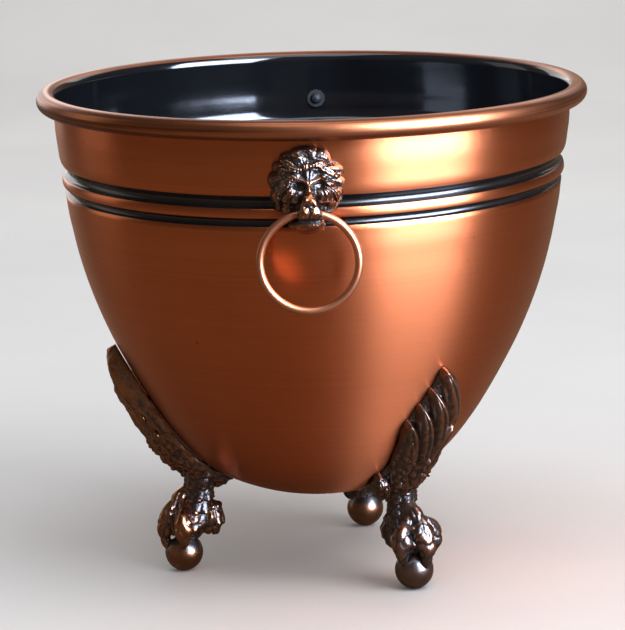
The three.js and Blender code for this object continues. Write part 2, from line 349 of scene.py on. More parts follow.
class Recipe:
    """A node tree under construction, with short ways to add and join its nodes."""

    def __init__(self, tree: bpy.types.NodeTree) -> None:
        """Start on an empty tree."""
        self.tree = tree
        tree.nodes.clear()

    def node(self, kind: str, inputs: dict | None = None, **settings: object) -> bpy.types.Node:
        """Add a node.

        Args:
            kind: Blender's name for the node type.
            inputs: a value, or an output socket to link, for each named or numbered input.
            settings: properties of the node.

        Returns:
            The node.
        """
        made = self.tree.nodes.new(kind)
        for key, value in settings.items():
            setattr(made, key, value)
        for key, value in (inputs or {}).items():
            if isinstance(value, bpy.types.NodeSocket):
                self.tree.links.new(value, made.inputs[key])
            else:
                made.inputs[key].default_value = value
        return made

    def sum(self, operation: str, *terms: object) -> bpy.types.NodeSocket:
        """The result of a math node on sockets or numbers."""
        return self.node("ShaderNodeMath", dict(enumerate(terms)), operation=operation).outputs[0]

    def ease(self, value: bpy.types.NodeSocket, low: float, high: float,
             to_low: float = 0.0, to_high: float = 1.0) -> bpy.types.NodeSocket:
        """Value mapped smoothly from low..high to to_low..to_high."""
        return self.node("ShaderNodeMapRange", {0: value, 1: low, 2: high, 3: to_low, 4: to_high},
                         interpolation_type="SMOOTHSTEP").outputs[0]

    def blend(self, share: bpy.types.NodeSocket, first: object, second: object) -> bpy.types.NodeSocket:
        """Mix of two colours.

        Args:
            share: how much of the second.
            first: colour where share is 0.
            second: colour where share is 1.

        Returns:
            The mixed colour.
        """
        mix = self.node("ShaderNodeMix", data_type="RGBA")
        for slot, value in ((0, share), (6, first), (7, second)):
            if isinstance(value, bpy.types.NodeSocket):
                self.tree.links.new(value, mix.inputs[slot])
            else:
                mix.inputs[slot].default_value = (*value, 1.0)
        return mix.outputs[2]

    def noise(self, vector: bpy.types.NodeSocket, scale: object, detail: float = 3.0,
              rough: float = 0.5) -> bpy.types.NodeSocket:
        """A noise texture's value at a vector."""
        return self.node("ShaderNodeTexNoise", {"Vector": vector, "Scale": scale, "Detail": detail,
                                                "Roughness": rough}).outputs[0]

    def use(self, group: bpy.types.NodeTree, inputs: dict) -> bpy.types.Node:
        """Place a node group and give it its inputs."""
        return self.node("ShaderNodeGroup", inputs, node_tree=group)

    def attribute(self, name: str, output: str = "Fac") -> bpy.types.NodeSocket:
        """A value that the mesh carries at each point."""
        return self.node("ShaderNodeAttribute", attribute_name=name).outputs[output]


def new_group(name: str, inputs: dict[str, tuple[str, object]],
              outputs: list[str]) -> tuple[Recipe, bpy.types.Node, bpy.types.Node]:
    """Start a shader node group.

    Args:
        name: name of the group.
        inputs: socket kind (Float or Vector) and default of each input.
        outputs: names of its Float outputs.

    Returns:
        Its recipe, its input node and its output node.
    """
    tree = bpy.data.node_groups.new(name, "ShaderNodeTree")
    for label, (kind, default) in inputs.items():
        socket = tree.interface.new_socket(label, in_out="INPUT", socket_type=f"NodeSocket{kind}")
        if default is not None:
            socket.default_value = default
    for label in outputs:
        tree.interface.new_socket(label, in_out="OUTPUT", socket_type="NodeSocketFloat")
    recipe = Recipe(tree)
    return recipe, recipe.node("NodeGroupInput"), recipe.node("NodeGroupOutput")


class Effects:
    """The effects that several finishes share, each a node group that is built once."""

    def __init__(self) -> None:
        """Build every group."""
        self.lines = self.brushed_lines()
        self.wear = self.rubbed_high_spots()
        self.marks = self.handling_marks()
        self.clouds = self.slow_clouds()

    def brushed_lines(self) -> bpy.types.NodeTree:
        """Fine lines left by turning and brushing.

        The flow vector changes slowly along the lines and quickly across them, so noise read at
        it is drawn out into lines.

        Returns:
            A group with Height for bump, Gloss for roughness and Streak for broad bands.
        """
        r, given, out = new_group("brushed_lines", {"Flow": ("Vector", None), "Across": ("Float", 3.0)},
                                  ["Height", "Gloss", "Streak"])
        stretch = r.node("ShaderNodeCombineXYZ", {0: 1.0, 1: 1.0, 2: given.outputs["Across"]}).outputs[0]
        fine = r.node("ShaderNodeVectorMath", {0: given.outputs["Flow"], 1: stretch},
                      operation="MULTIPLY").outputs[0]
        r.tree.links.new(r.noise(fine, 1.0, 5.0, 0.7), out.inputs["Height"])
        r.tree.links.new(r.noise(fine, 0.31, 3.0, 0.6), out.inputs["Gloss"])
        r.tree.links.new(r.noise(fine, 0.07, 4.0, 0.65), out.inputs["Streak"])
        return r.tree

    def rubbed_high_spots(self) -> bpy.types.NodeTree:
        """Dark patina rubbed back to bright metal where the surface stands proud.

        Returns:
            A group with Bright, 1 on rubbed metal, and Grain, the cast surface for bump.
        """
        r, given, out = new_group(
            "rubbed_high_spots",
            {"Worn": ("Float", 0.5), "Place": ("Vector", None), "Start": ("Float", 0.5),
             "Grain size": ("Float", 900.0), "Patchy": ("Float", 0.35)}, ["Bright", "Grain"])
        size = given.outputs["Grain size"]
        grain = r.noise(given.outputs["Place"], size, 4.0, 0.6)
        patch = r.noise(given.outputs["Place"], r.sum("MULTIPLY", size, 0.22), 2.0, 0.5)
        uneven = r.sum("MULTIPLY", r.sum("SUBTRACT", patch, 0.5), given.outputs["Patchy"])
        speckle = r.sum("MULTIPLY", r.sum("SUBTRACT", grain, 0.5), given.outputs["Patchy"])
        height = r.sum("ADD", r.sum("ADD", given.outputs["Worn"], uneven), speckle)
        r.tree.links.new(r.ease(r.sum("SUBTRACT", height, given.outputs["Start"]), -0.12, 0.16),
                         out.inputs["Bright"])
        r.tree.links.new(grain, out.inputs["Grain"])
        return r.tree

    def handling_marks(self) -> bpy.types.NodeTree:
        """Sparse small specks and short scratches.

        Returns:
            A group with Specks, 1 in a speck, and Scratch, 1 in a scratch.
        """
        r, given, out = new_group("handling_marks", {"Place": ("Vector", None), "Spread": ("Float", 90.0)},
                                  ["Specks", "Scratch"])
        cells = r.node("ShaderNodeTexVoronoi", {"Vector": given.outputs["Place"],
                                                "Scale": given.outputs["Spread"]})
        few = r.ease(cells.outputs["Color"], 0.8, 0.86)
        dot = r.ease(cells.outputs["Distance"], 0.03, 0.07, 1.0, 0.0)
        r.tree.links.new(r.sum("MULTIPLY", dot, few), out.inputs["Specks"])
        warp = r.node("ShaderNodeMapping", {"Vector": given.outputs["Place"], "Rotation": (0.4, 0.9, 0.3),
                                            "Scale": (1.0, 9.0, 1.0)}).outputs[0]
        long_cells = r.node("ShaderNodeTexVoronoi", {"Vector": warp, "Scale": 22.0,
                                                     "Randomness": 1.0}, feature="DISTANCE_TO_EDGE")
        gate = r.ease(r.noise(given.outputs["Place"], 35.0, 1.0), 0.6, 0.68)
        line = r.ease(long_cells.outputs["Distance"], 0.0, 0.012, 1.0, 0.0)
        r.tree.links.new(r.sum("MULTIPLY", line, gate), out.inputs["Scratch"])
        return r.tree

    def slow_clouds(self) -> bpy.types.NodeTree:
        """Broad uneven tone, as in lacquer or aged metal.

        Returns:
            A group with Cloud, about 0 to 1.
        """
        r, given, out = new_group("slow_clouds", {"Place": ("Vector", None), "Size": ("Float", 12.0)},
                                  ["Cloud"])
        r.tree.links.new(r.ease(r.noise(given.outputs["Place"], given.outputs["Size"], 3.0, 0.55),
                                0.3, 0.7), out.inputs["Cloud"])
        return r.tree


class Pattern(Enum):
    """How a finish is worked."""

    BRUSHED = "brushed"
    RUBBED = "rubbed"
    LACQUERED = "lacquered"
    MATT = "matt"


@dataclass(frozen=True)
class Finish:
    """One surface finish, with the numbers that its material is built from.

    bright and dark are the colours that the pattern blends, rough is the roughness of each, and
    metal is the metalness of each.
    """

    name: str
    pattern: Pattern
    bright: tuple[float, float, float]
    dark: tuple[float, float, float]
    rough: tuple[float, float] = (0.3, 0.4)
    metal: tuple[float, float] = (1.0, 1.0)
    coat: float = 0.0
    coat_rough: float = 0.1
    anisotropy: float = 0.0
    across: float = 3.0
    start: float = 0.5
    patchy: float = 0.3
    grain_size: float = 900.0
    bump: float = 0.1
    specks: float = 0.0
    specular: float = 0.5
    grain_turn: float = 0.0

    def build(self, effects: Effects) -> bpy.types.Material:
        """Make the material.

        Args:
            effects: the shared node groups.

        Returns:
            The material.
        """
        material = bpy.data.materials.new(self.name)
        material.use_nodes = True
        r = Recipe(material.node_tree)
        shader = r.node("ShaderNodeBsdfPrincipled")
        out = r.node("ShaderNodeOutputMaterial", {"Surface": shader.outputs[0]})
        out.is_active_output = True
        place = r.node("ShaderNodeTexCoord").outputs["Object"]
        worker = {Pattern.BRUSHED: self.brushed, Pattern.RUBBED: self.rubbed,
                  Pattern.LACQUERED: self.lacquered, Pattern.MATT: self.matt}[self.pattern]
        colour, share, height, reach = worker(r, effects, place)
        if self.specks:
            marks = r.use(effects.marks, {"Place": place})
            spot = r.sum("MULTIPLY", marks.outputs["Specks"], self.specks)
            colour = r.blend(spot, colour, tuple(0.12 * c for c in self.dark))
            height = r.sum("SUBTRACT", height, r.sum("MULTIPLY", marks.outputs["Scratch"], 0.6))
        links = r.tree.links
        links.new(colour, shader.inputs["Base Color"])
        links.new(r.node("ShaderNodeMapRange", {0: share, 3: self.rough[1], 4: self.rough[0]}).outputs[0],
                  shader.inputs["Roughness"])
        if self.metal[0] == self.metal[1]:
            shader.inputs["Metallic"].default_value = self.metal[0]
        else:
            links.new(r.node("ShaderNodeMapRange", {0: share, 3: self.metal[1],
                                                    4: self.metal[0]}).outputs[0],
                      shader.inputs["Metallic"])
        shader.inputs["Specular IOR Level"].default_value = self.specular
        shader.inputs["Anisotropic"].default_value = self.anisotropy
        shader.inputs["Anisotropic Rotation"].default_value = self.grain_turn
        shader.inputs["Coat Weight"].default_value = self.coat
        shader.inputs["Coat Roughness"].default_value = self.coat_rough
        bump = r.node("ShaderNodeBump", {"Strength": self.bump, "Distance": reach, "Height": height})
        links.new(bump.outputs[0], shader.inputs["Normal"])
        return material

    def brushed(self, r: Recipe, effects: Effects, place: bpy.types.NodeSocket) -> tuple:
        """Metal with fine turned lines and slow tone.

        Args:
            r: the material's recipe.
            effects: the shared node groups.
            place: object coordinates.

        Returns:
            Colour, share of bright, height and how deep the height reaches in metres.
        """
        flow = r.attribute("flow", "Vector")
        worn = r.attribute("worn")
        darkening = r.attribute("darkening")
        lines = r.use(effects.lines, {"Flow": flow, "Across": self.across})
        cloud = r.use(effects.clouds, {"Place": place}).outputs["Cloud"]
        streak = r.ease(lines.outputs["Streak"], 0.35, 0.65)
        tone = r.sum("ADD", r.sum("MULTIPLY", cloud, 0.35), r.sum("MULTIPLY", streak, 0.25))
        tone = r.sum("ADD", tone, r.sum("MULTIPLY", worn, 0.4))
        patina = r.sum("MULTIPLY", darkening, r.ease(lines.outputs["Gloss"], 0.40, 0.62))
        tone = r.sum("SUBTRACT", tone, patina)
        share = r.node("ShaderNodeClamp", {0: tone}).outputs[0]
        colour = r.blend(share, self.dark, self.bright)
        return colour, share, lines.outputs["Height"], 0.0002

    def rubbed(self, r: Recipe, effects: Effects, place: bpy.types.NodeSocket) -> tuple:
        """Dark patina rubbed back on the high spots.

        Args:
            r: the material's recipe.
            effects: the shared node groups.
            place: object coordinates.

        Returns:
            Colour, share of bright, height and how deep the height reaches in metres.
        """
        worn = r.attribute("worn")
        darkening = r.attribute("darkening")
        wear = r.use(effects.wear, {"Worn": worn, "Place": place, "Start": self.start,
                                    "Grain size": self.grain_size, "Patchy": self.patchy})
        share = r.sum("MULTIPLY", wear.outputs["Bright"], r.sum("SUBTRACT", 1.0, darkening))
        cloud = r.use(effects.clouds, {"Place": place, "Size": 90.0}).outputs["Cloud"]
        warm = r.blend(cloud, self.bright, tuple(0.55 * c for c in self.bright))
        return r.blend(share, self.dark, warm), share, wear.outputs["Grain"], 0.0003

    def lacquered(self, r: Recipe, effects: Effects, place: bpy.types.NodeSocket) -> tuple:
        """Even dark lacquer with a faint skin.

        Args:
            r: the material's recipe.
            effects: the shared node groups.
            place: object coordinates.

        Returns:
            Colour, share of bright, height and how deep the height reaches in metres.
        """
        cloud = r.use(effects.clouds, {"Place": place, "Size": 30.0}).outputs["Cloud"]
        skin = r.noise(place, self.grain_size, 2.0, 0.5)
        return r.blend(cloud, self.dark, self.bright), cloud, skin, 0.0002

    def matt(self, r: Recipe, effects: Effects, place: bpy.types.NodeSocket) -> tuple:
        """Plain pale ground with a trace of mottle, with a painted reflection: glossy rays see it painted
        darker and warmer.

        Args:
            r: the material's recipe.
            effects: the shared node groups.
            place: object coordinates.

        Returns:
            Colour, share of bright, height and how deep the height reaches in metres.
        """
        cloud = r.use(effects.clouds, {"Place": place, "Size": 3.0}).outputs["Cloud"]
        # Painted reflection: the colour that glossy rays see is a darker, warmer copy of the ground.
        mirrored = r.node("ShaderNodeLightPath").outputs["Is Glossy Ray"]
        ground = r.blend(cloud, self.dark, self.bright)
        painted_reflection = tuple(PAINTED_REFLECTION_DIM * c * w for c, w in zip(self.dark, PAINTED_REFLECTION_TINT))
        ground_with_painted_reflection = r.blend(mirrored, ground, painted_reflection)
        return ground_with_painted_reflection, cloud, r.noise(place, 400.0, 3.0), 0.0002


SPUN_COPPER = Finish("spun_copper", Pattern.BRUSHED, (0.62, 0.190, 0.078), (0.50, 0.132, 0.048),
                     rough=(0.29, 0.34), anisotropy=0.85, grain_turn=0.25, across=11.0, bump=0.10,
                     specks=0.7)
RIM_COPPER = Finish("rim_copper", Pattern.BRUSHED, (0.58, 0.20, 0.085), (0.14, 0.045, 0.022),
                    rough=(0.26, 0.40), anisotropy=0.3, grain_turn=0.25, across=1.6, bump=0.15,
                    specks=0.8)
RING_COPPER = Finish("ring_copper", Pattern.BRUSHED, (0.60, 0.25, 0.13), (0.40, 0.14, 0.062),
                     rough=(0.32, 0.40), across=3.0, bump=0.08)
COVE_LACQUER = Finish("cove_lacquer", Pattern.LACQUERED, (0.012, 0.007, 0.006), (0.006, 0.004, 0.004),
                      rough=(0.20, 0.28), metal=(0.0, 0.0), bump=0.05)
# Black lacquer of the inside; the faint blue in its colours is a painted reflection of the cool light from
# above.
INSIDE_LACQUER = Finish("inside_lacquer", Pattern.LACQUERED, (0.010, 0.012, 0.016), (0.006, 0.007, 0.010),
                        rough=(0.08, 0.12), metal=(0.0, 0.0), bump=0.04, grain_size=500.0)
RUBBED_COPPER = Finish("rubbed_copper", Pattern.RUBBED, (0.36, 0.14, 0.060), (0.022, 0.010, 0.006),
                       rough=(0.24, 0.34), metal=(1.0, 0.25), coat=0.42, coat_rough=0.16, bump=0.35,
                       start=0.66, patchy=0.20)
FIXING_BLACK = Finish("fixing_black", Pattern.RUBBED, (0.03, 0.026, 0.026), (0.006, 0.006, 0.008),
                      rough=(0.45, 0.55), metal=(1.0, 0.2), bump=0.1, start=0.75)
PALE_FLOOR = Finish("pale_floor", Pattern.MATT, (0.62, 0.60, 0.575), (0.58, 0.56, 0.54),
                    rough=(0.8, 0.9), metal=(0.0, 0.0), bump=0.03, specular=0.0)


class Finishes:
    """Every finish of the pot, built once."""

    def __init__(self) -> None:
        """Build the shared effects and the materials."""
        effects = Effects()
        self.body = SPUN_COPPER.build(effects)
        self.rim = RIM_COPPER.build(effects)
        self.ring = RING_COPPER.build(effects)
        self.cove = COVE_LACQUER.build(effects)
        self.inside = INSIDE_LACQUER.build(effects)
        self.casting = RUBBED_COPPER.build(effects)
        self.fixing = FIXING_BLACK.build(effects)
        self.floor = PALE_FLOOR.build(effects)


# ---------------------------------------------------------------- the bowl


class Zone(Enum):
    """Painted and bare bands of the bowl, numbered as its materials are."""

    BODY = 0
    COVE = 1
    RIM = 2
    INSIDE = 3


@dataclass
class Bowl:
    """The spun sheet bowl with two dark coves and an open rolled rim."""

    sheet: float = 1.0
    turns: int = 240
    roll_centre: tuple[float, float] = (110.45, 201.9)
    roll_radius: float = 4.05
    roll_end: float = -128.0
    lacquer_edge: float = 132.0
    spin_waves: tuple[float, float] = (0.05, 0.03)
    band_lean: tuple[float, float, float] = (0.2, 0.95, 1.2)
    lean_grows: tuple[float, float] = (118.0, 160.0)
    lean_fades: tuple[float, float] = (178.0, 193.0)
    rim_tarnish: float = 0.55
    body: list[tuple[float, float]] = field(default_factory=lambda: [
        (1.5, 34.0), (14.0, 34.1), (22.0, 35.0), (34.0, 38.7), (46.9, 45.2), (56.8, 54.2), (66.3, 66.4),
        (74.7, 80.0), (80.5, 90.6), (85.4, 100.2), (89.8, 110.2), (93.6, 120.2), (96.95, 130.5),
        (99.5, 140.0), (101.3, 148.4), (102.5, 154.2), (103.2, 159.4), (103.6, 163.0)])
    low_cove: list[tuple[float, float]] = field(default_factory=lambda: [
        (103.6, 163.0), (102.75, 163.5), (102.25, 164.4), (102.35, 165.4), (103.2, 166.1),
        (104.35, 166.5)])
    bead: list[tuple[float, float]] = field(default_factory=lambda: [
        (104.35, 166.5), (104.7, 167.4), (104.75, 168.5), (104.65, 169.5), (104.35, 170.3)])
    high_cove: list[tuple[float, float]] = field(default_factory=lambda: [
        (104.35, 170.3), (103.1, 170.9), (102.35, 171.8), (102.25, 172.9), (102.9, 174.0),
        (104.6, 175.3)])
    neck: list[tuple[float, float]] = field(default_factory=lambda: [
        (104.6, 175.3), (105.3, 176.6), (105.75, 178.4), (106.1, 181.2), (106.5, 184.6),
        (106.85, 187.6), (107.1, 191.0), (107.25, 195.0), (107.35, 198.6), (107.4, 201.9)])

    def wall(self, height: Array) -> tuple[Array, Array, Array]:
        """Outside radius of the round body at a height, and its outward normal.

        Args:
            height: heights above the floor.

        Returns:
            Radius, and the normal's outward and upward parts.
        """
        path = curve_through(self.body, 400)
        radius = np.interp(height, path[:, 1], path[:, 0])
        normal = -left_normals(path)
        out = np.interp(height, path[:, 1], normal[:, 0])
        return radius, out, np.interp(height, path[:, 1], normal[:, 1])

    def outline(self) -> tuple[Array, Array]:
        """The whole section of the sheet, outside first, over the roll and down the inside.

        Returns:
            Radius and height of each point, and the zone of each stretch between points.
        """
        spans = [(self.body, 84, Zone.BODY), (self.low_cove, 12, Zone.COVE), (self.bead, 9, Zone.BODY),
                 (self.high_cove, 13, Zone.COVE), (self.neck, 22, Zone.BODY)]
        path, zones = [curve_through(spans[0][0], spans[0][1])[:1]], []
        for knots, count, zone in spans:
            path.append(curve_through(knots, count)[1:])
            zones += [zone.value] * (count - 1)
        outside = np.concatenate(path)
        inside = (outside + self.sheet * left_normals(outside))[:-3]
        inside[:, 0] = np.maximum(inside[:, 0], 0.8)
        thin = np.concatenate([inside[:80:2], inside[80:]])[::-1]
        hollow = self.arc(self.roll_radius - self.sheet, 176.0, self.roll_end, 22)
        roll = self.arc(self.roll_radius, self.roll_end, 184.0, 64)
        turn = np.linspace(self.roll_end, 184.0, 64)
        zones += [Zone.INSIDE.value] * 22 + [Zone.RIM.value]
        zones += [Zone.RIM.value if t < self.lacquer_edge else Zone.INSIDE.value for t in turn[:-1]]
        zones += [Zone.INSIDE.value] * len(thin)
        return np.concatenate([outside, hollow, roll, thin]), np.array(zones)

    def arc(self, radius: float, start: float, end: float, count: int) -> Array:
        """Points round the roll's centre, from one angle in degrees to another."""
        turn = np.radians(np.linspace(start, end, count))
        return np.stack([self.roll_centre[0] + radius * np.cos(turn),
                         self.roll_centre[1] + radius * np.sin(turn)], -1)

    def surface(self) -> Sheet:
        """The section carried once round the axis.

        Formula: each section point goes round a circle of its own radius, which spinning leaves
        a few hundredths of a millimetre out of true; the grooved bands lean by up to 2.4 mm, as
        rolled bands can on thin sheet.

        Returns:
            The closed surface, with lines that follow the turning.
        """
        path, zones = self.outline()
        azimuth = once_round(self.turns)
        radius, height = path[:, :1], path[:, 1:]
        broad, fine = self.spin_waves
        wave = broad * np.sin(3 * azimuth + height / 21.0) + fine * np.sin(5 * azimuth - height / 13.0)
        wide = radius + wave * smooth_step(60.0, 90.0, radius) * smooth_step(60.0, 90.0, height) \
            * (1.0 - smooth_step(150.0, 160.0, height))
        level, slope, bend = self.band_lean
        lean = level + slope * np.sin(azimuth) + bend * np.sin(azimuth) ** 2
        held = smooth_step(*self.lean_grows, height) * (1.0 - smooth_step(*self.lean_fades, height))
        points = np.stack([wide * np.sin(azimuth), -wide * np.cos(azimuth), height + held * lean], -1)
        length = np.concatenate([[0.0], np.cumsum(np.linalg.norm(np.diff(path, axis=0), axis=1))])
        grid = np.broadcast_to(length[:, None], wide.shape)
        flow = np.stack([2.2 * np.sin(azimuth) + 0 * grid, 2.2 * np.cos(azimuth) + 0 * grid, grid], -1)
        on_roll = np.linalg.norm(path - np.array(self.roll_centre), axis=1) < self.roll_radius + 0.1
        darkening = np.where(on_roll, self.rim_tarnish, 0.0)[:, None] + 0 * grid
        worn = np.where(path[:, 1] > 162.0, 0.6, 0.5)[:, None] + 0 * grid
        return Sheet(points, worn, darkening, flow, zones)

    def build(self, finishes: Finishes) -> None:
        """Make the bowl and let it stand for its CAD node.

        Args:
            finishes: the pot's finishes.
        """
        piece = make_piece("planter_bowl", [self.surface()],
                           [finishes.body, finishes.cove, finishes.rim, finishes.inside])
        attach(piece, "pot")
        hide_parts("bowl")


# ---------------------------------------------------------------- lion mask


@dataclass(frozen=True)
class RingHang:
    """What a mask and its ring share: the ring's sizes and the line that it swings about."""

    ring_r: float = 19.2
    wire_r: float = 1.6
    pivot_r: float = 112.5
    pivot_z: float = 170.1

    def sag(self, x: Array) -> Array:
        """How far the ring's middle line has dropped from its top, at x to one side."""
        return self.ring_r - np.sqrt(self.ring_r**2 - x**2)


@dataclass(frozen=True)
class Tier:
    """One tier of the mane: locks that start at one share of the mask's radius and end at another.

    rise is their height in mm, twist is how far they bend, phase is where the first lies, and bed
    is the height of the step that they lie on, which fades between the two radii of its edge.
    """

    rise: float
    inner: float
    tip: float
    count: int
    twist: float
    phase: float
    bed: float = 0.0
    bed_edge: tuple[float, float] = (1.0, 0.96)


@dataclass
class LionMask:
    """A cast lion's head with a swept mane, and a muzzle with a real hole that the ring hangs in."""

    node: str
    facing: float = 0.0
    centre_z: float = 182.0
    half_width: float = 15.3
    half_height: float = 14.2
    face_x: float = 1.2
    head_shift: float = 0.7
    neck_r: float = 106.55
    gap: float = 0.45
    hang: RingHang = RingHang()
    mouth_play: float = 0.5
    rows: int = 118
    turns: int = 300
    mane: tuple[Tier, ...] = (
        Tier(2.1, 0.45, 1.04, 12, 13.0, 0.0),
        Tier(2.3, 0.30, 0.84, 9, 14.0, 1.1, bed=0.6, bed_edge=(0.86, 0.82)),
        Tier(2.2, 0.18, 0.60, 7, 9.0, 2.0, bed=1.1, bed_edge=(0.63, 0.59)))
    face: dict[str, Bump] = field(default_factory=lambda: {
        "forehead": Bump(1.3, (0.0, 4.4), (2.8, 2.0)),
        "furrow": Bump(-0.7, (0.0, 4.6), (0.4, 2.2)),
        "brows": Bump(1.9, (3.1, 1.3), (2.3, 0.75), 24, paired=True),
        "eye sockets": Bump(-1.8, (3.4, -1.2), (1.5, 0.85), 10, paired=True),
        "eyes": Bump(1.15, (3.3, -1.25), (0.8, 0.5), paired=True),
        "bridge": Bump(2.8, (0.0, -1.0), (1.25, 3.4)),
        "nose root": Bump(1.6, (0.0, -4.5), (1.9, 2.4)),
        "cheeks": Bump(1.7, (4.7, -4.2), (1.8, 1.7), -20, paired=True),
        "cheek creases": Bump(-0.5, (2.5, -3.4), (0.5, 2.0), 12, paired=True),
        "jowls": Bump(1.3, (4.6, -8.4), (1.6, 2.0), paired=True)})
    snout: dict[str, Bump] = field(default_factory=lambda: {
        "whisker pads": Bump(0.75, (1.9, 6.0), (1.1, 11.0), paired=True),
        "lip cleft": Bump(-0.8, (0.0, 10.0), (0.32, 13.0)),
        "nostrils": Bump(-0.9, (1.35, 33.0), (0.55, 4.0), paired=True),
        "nose wings": Bump(0.35, (1.7, 42.0), (0.9, 7.0), paired=True),
        "lower lip": Bump(0.35, (0.0, -52.0), (2.4, 7.0))})

    def edge(self, phi: Array) -> Array:
        """How far the mane's outline reaches in each direction.

        Formula: 1 less a notch between neighbouring locks, with a slow unevenness and two
        fuller upper corners.

        Args:
            phi: direction on the mask, from its right side upwards.

        Returns:
            The reach as a share of the half sizes.
        """
        comb = 12 * phi + 1.6 * np.sin(2 * phi + 0.4) + 1.1 * np.sin(5 * phi + 0.3)
        notch = 1.0 - np.abs(np.cos(comb / 2)) ** 0.8
        turn = np.mod(phi + math.pi / 2.0 + math.pi, TAU) - math.pi
        corner = np.exp(-0.5 * ((np.abs(turn) - 0.70) / 0.27) ** 2)
        return 0.98 - (0.095 + 0.04 * np.sin(3 * phi)) * notch + 0.012 * np.sin(7 * phi) + 0.13 * corner

    def locks(self, tier: Tier, rho: Array, phi: Array) -> Array:
        """One tier of swept locks of hair.

        Formula: rounded ridges that bend as they run outward, cut off along a scalloped line, and
        finely combed by a faster wave, all on a low step.

        Args:
            tier: its sizes.
            rho, phi: polar place on the mask.

        Returns:
            Height of the tier in mm.
        """
        side = np.tanh(3.0 * np.cos(phi))
        comb = tier.count * phi + tier.twist * side * (rho - tier.inner) + tier.phase \
            + 1.3 * np.sin(3 * phi + tier.phase) + 0.9 * np.sin(5 * phi - 2.0 * tier.phase + 4.0 * rho)
        ridge = np.abs(np.cos(comb / 2)) ** 0.65
        reach = tier.tip * (0.84 + 0.16 * ridge)
        t = np.clip((rho - tier.inner) / (reach - tier.inner), 0.0, 1.0)
        strand = 0.07 * np.cos(3 * comb + 5 * rho)
        lock = (0.35 + 0.65 * ridge + strand) * (0.8 + 0.35 * np.sin(math.pi * t)) \
            * smooth_step(0.0, 0.07, reach - rho)
        return tier.rise * lock + tier.bed * smooth_step(*tier.bed_edge, rho)

    def relief(self, x: Array, y: Array) -> Array:
        """Height of the head above the wall.

        Formula: a low dome, plus the tallest of three tiers of locks, plus soft bumps and hollows
        for the face, with the part below the jaw cut back.

        Args:
            x: place across, mm from the middle.
            y: place up, mm from the middle.

        Returns:
            Height in mm.
        """
        phi = np.arctan2(y / self.half_height, x / self.half_width)
        rho = np.hypot(x / self.half_width, y / self.half_height) / self.edge(phi)
        dome = 2.0 + 3.3 * (1.0 - np.clip(rho, 0, 1) ** 2.2)
        hair = np.maximum.reduce([self.locks(tier, rho, phi) for tier in self.mane])
        fx, fy = x - self.face_x, y
        open_face = 1.0 - smooth_step(0.75, 1.25, np.hypot(fx / 6.3, (fy + 1.6) / 7.6))
        mane = dome + hair * (1.0 - 0.9 * open_face)
        height = mane + sum((bump.height(fx, fy) for bump in self.face.values()), start=1.1 * open_face)
        low = smooth_step(-7.4, -9.6, fy) * (1.0 - smooth_step(6.5, 9.5, np.abs(fx)))
        height = height - low * np.maximum(height - 3.4, 0.0)
        fine = lumps(np.stack([x, y, height * 0.5], -1), 1.6, 5)
        return np.maximum(height + 0.07 * fine * (1.0 - 0.7 * open_face), 1.2)

    def back(self, y: Array) -> Array:
        """Radius of the casting's back, just clear of the neck and drawn in over the coves."""
        return self.neck_r + self.gap - 1.2 * smooth_step(-3.0, -10.0, y) + 0.5 * smooth_step(2.0, 13.0, y)

    def head(self) -> Sheet:
        """Mane and face as one closed surface.

        Formula: a polar grid runs from the middle to the outline over the relief, turns the edge
        and comes back over the casting's rear.

        Returns:
            The surface, in the mask's own frame with its face towards -Y.
        """
        phi = once_round(self.turns)
        share = np.concatenate([np.linspace(0.004, 0.9, self.rows - 20), np.linspace(0.9, 1.0, 21)[1:]])
        share = share[:, None]
        reach = self.edge(phi)
        x = share * reach * self.half_width * np.cos(phi)
        y = share * reach * self.half_height * np.sin(phi)
        height = self.relief(x, y)
        height = height * (1.0 - 0.45 * smooth_step(0.93, 1.0, share))
        around = [(np.cos(t), np.sin(t)) for t in np.linspace(0, TAU, 8, endpoint=False)]
        near, far = (sum(self.relief(x + r * a, y + r * b) for a, b in around) / 8 for r in (0.55, 1.5))
        worn = 0.42 + 1.3 * (height - near) + 0.28 * (height - far)
        back = share[::-4]
        flat_x = back * reach * self.half_width * np.cos(phi)
        flat_y = back * reach * self.half_height * np.sin(phi)
        x, y = np.concatenate([x, flat_x]), np.concatenate([y, flat_y])
        height = np.concatenate([height, np.zeros_like(flat_x)])
        worn = np.concatenate([np.clip(worn, 0, 1), np.full(flat_x.shape, 0.2)])
        radius = self.back(y) + height
        depth = np.sqrt(np.maximum(radius**2 - x**2, 1.0))
        points = np.stack([x - self.head_shift, -depth, y + self.centre_z], -1)
        return Sheet(self.clear_of_ring(points), worn)

    def room(self, x: Array) -> Array:
        """Radius that the wire and its play take up round the pivot line, at x to one side."""
        return self.hang.sag(x) + self.hang.wire_r + self.mouth_play

    def clear_of_ring(self, points: Array) -> Array:
        """Push points out of the space that the ring's wire sweeps near the pivot.

        Formula: within the swept radius, which grows with the ring's sag, a point moves straight
        back towards the wall until it is outside.

        Args:
            points: grid of places in the mask's own frame.

        Returns:
            The moved places.
        """
        x = np.clip(points[..., 0], -11.0, 11.0)
        sweep = self.room(x)
        out = -points[..., 1] - self.hang.pivot_r
        up = points[..., 2] - self.hang.pivot_z
        inside = (np.hypot(out, up) < sweep) | ((np.abs(up) < sweep) & (out > 0.0))
        inside &= np.abs(points[..., 0]) < 11.0
        back = -np.sqrt(np.maximum(sweep**2 - up**2, 0.0))
        moved = points.copy()
        moved[..., 1] = np.where(inside, -(self.hang.pivot_r + back), points[..., 1])
        return moved

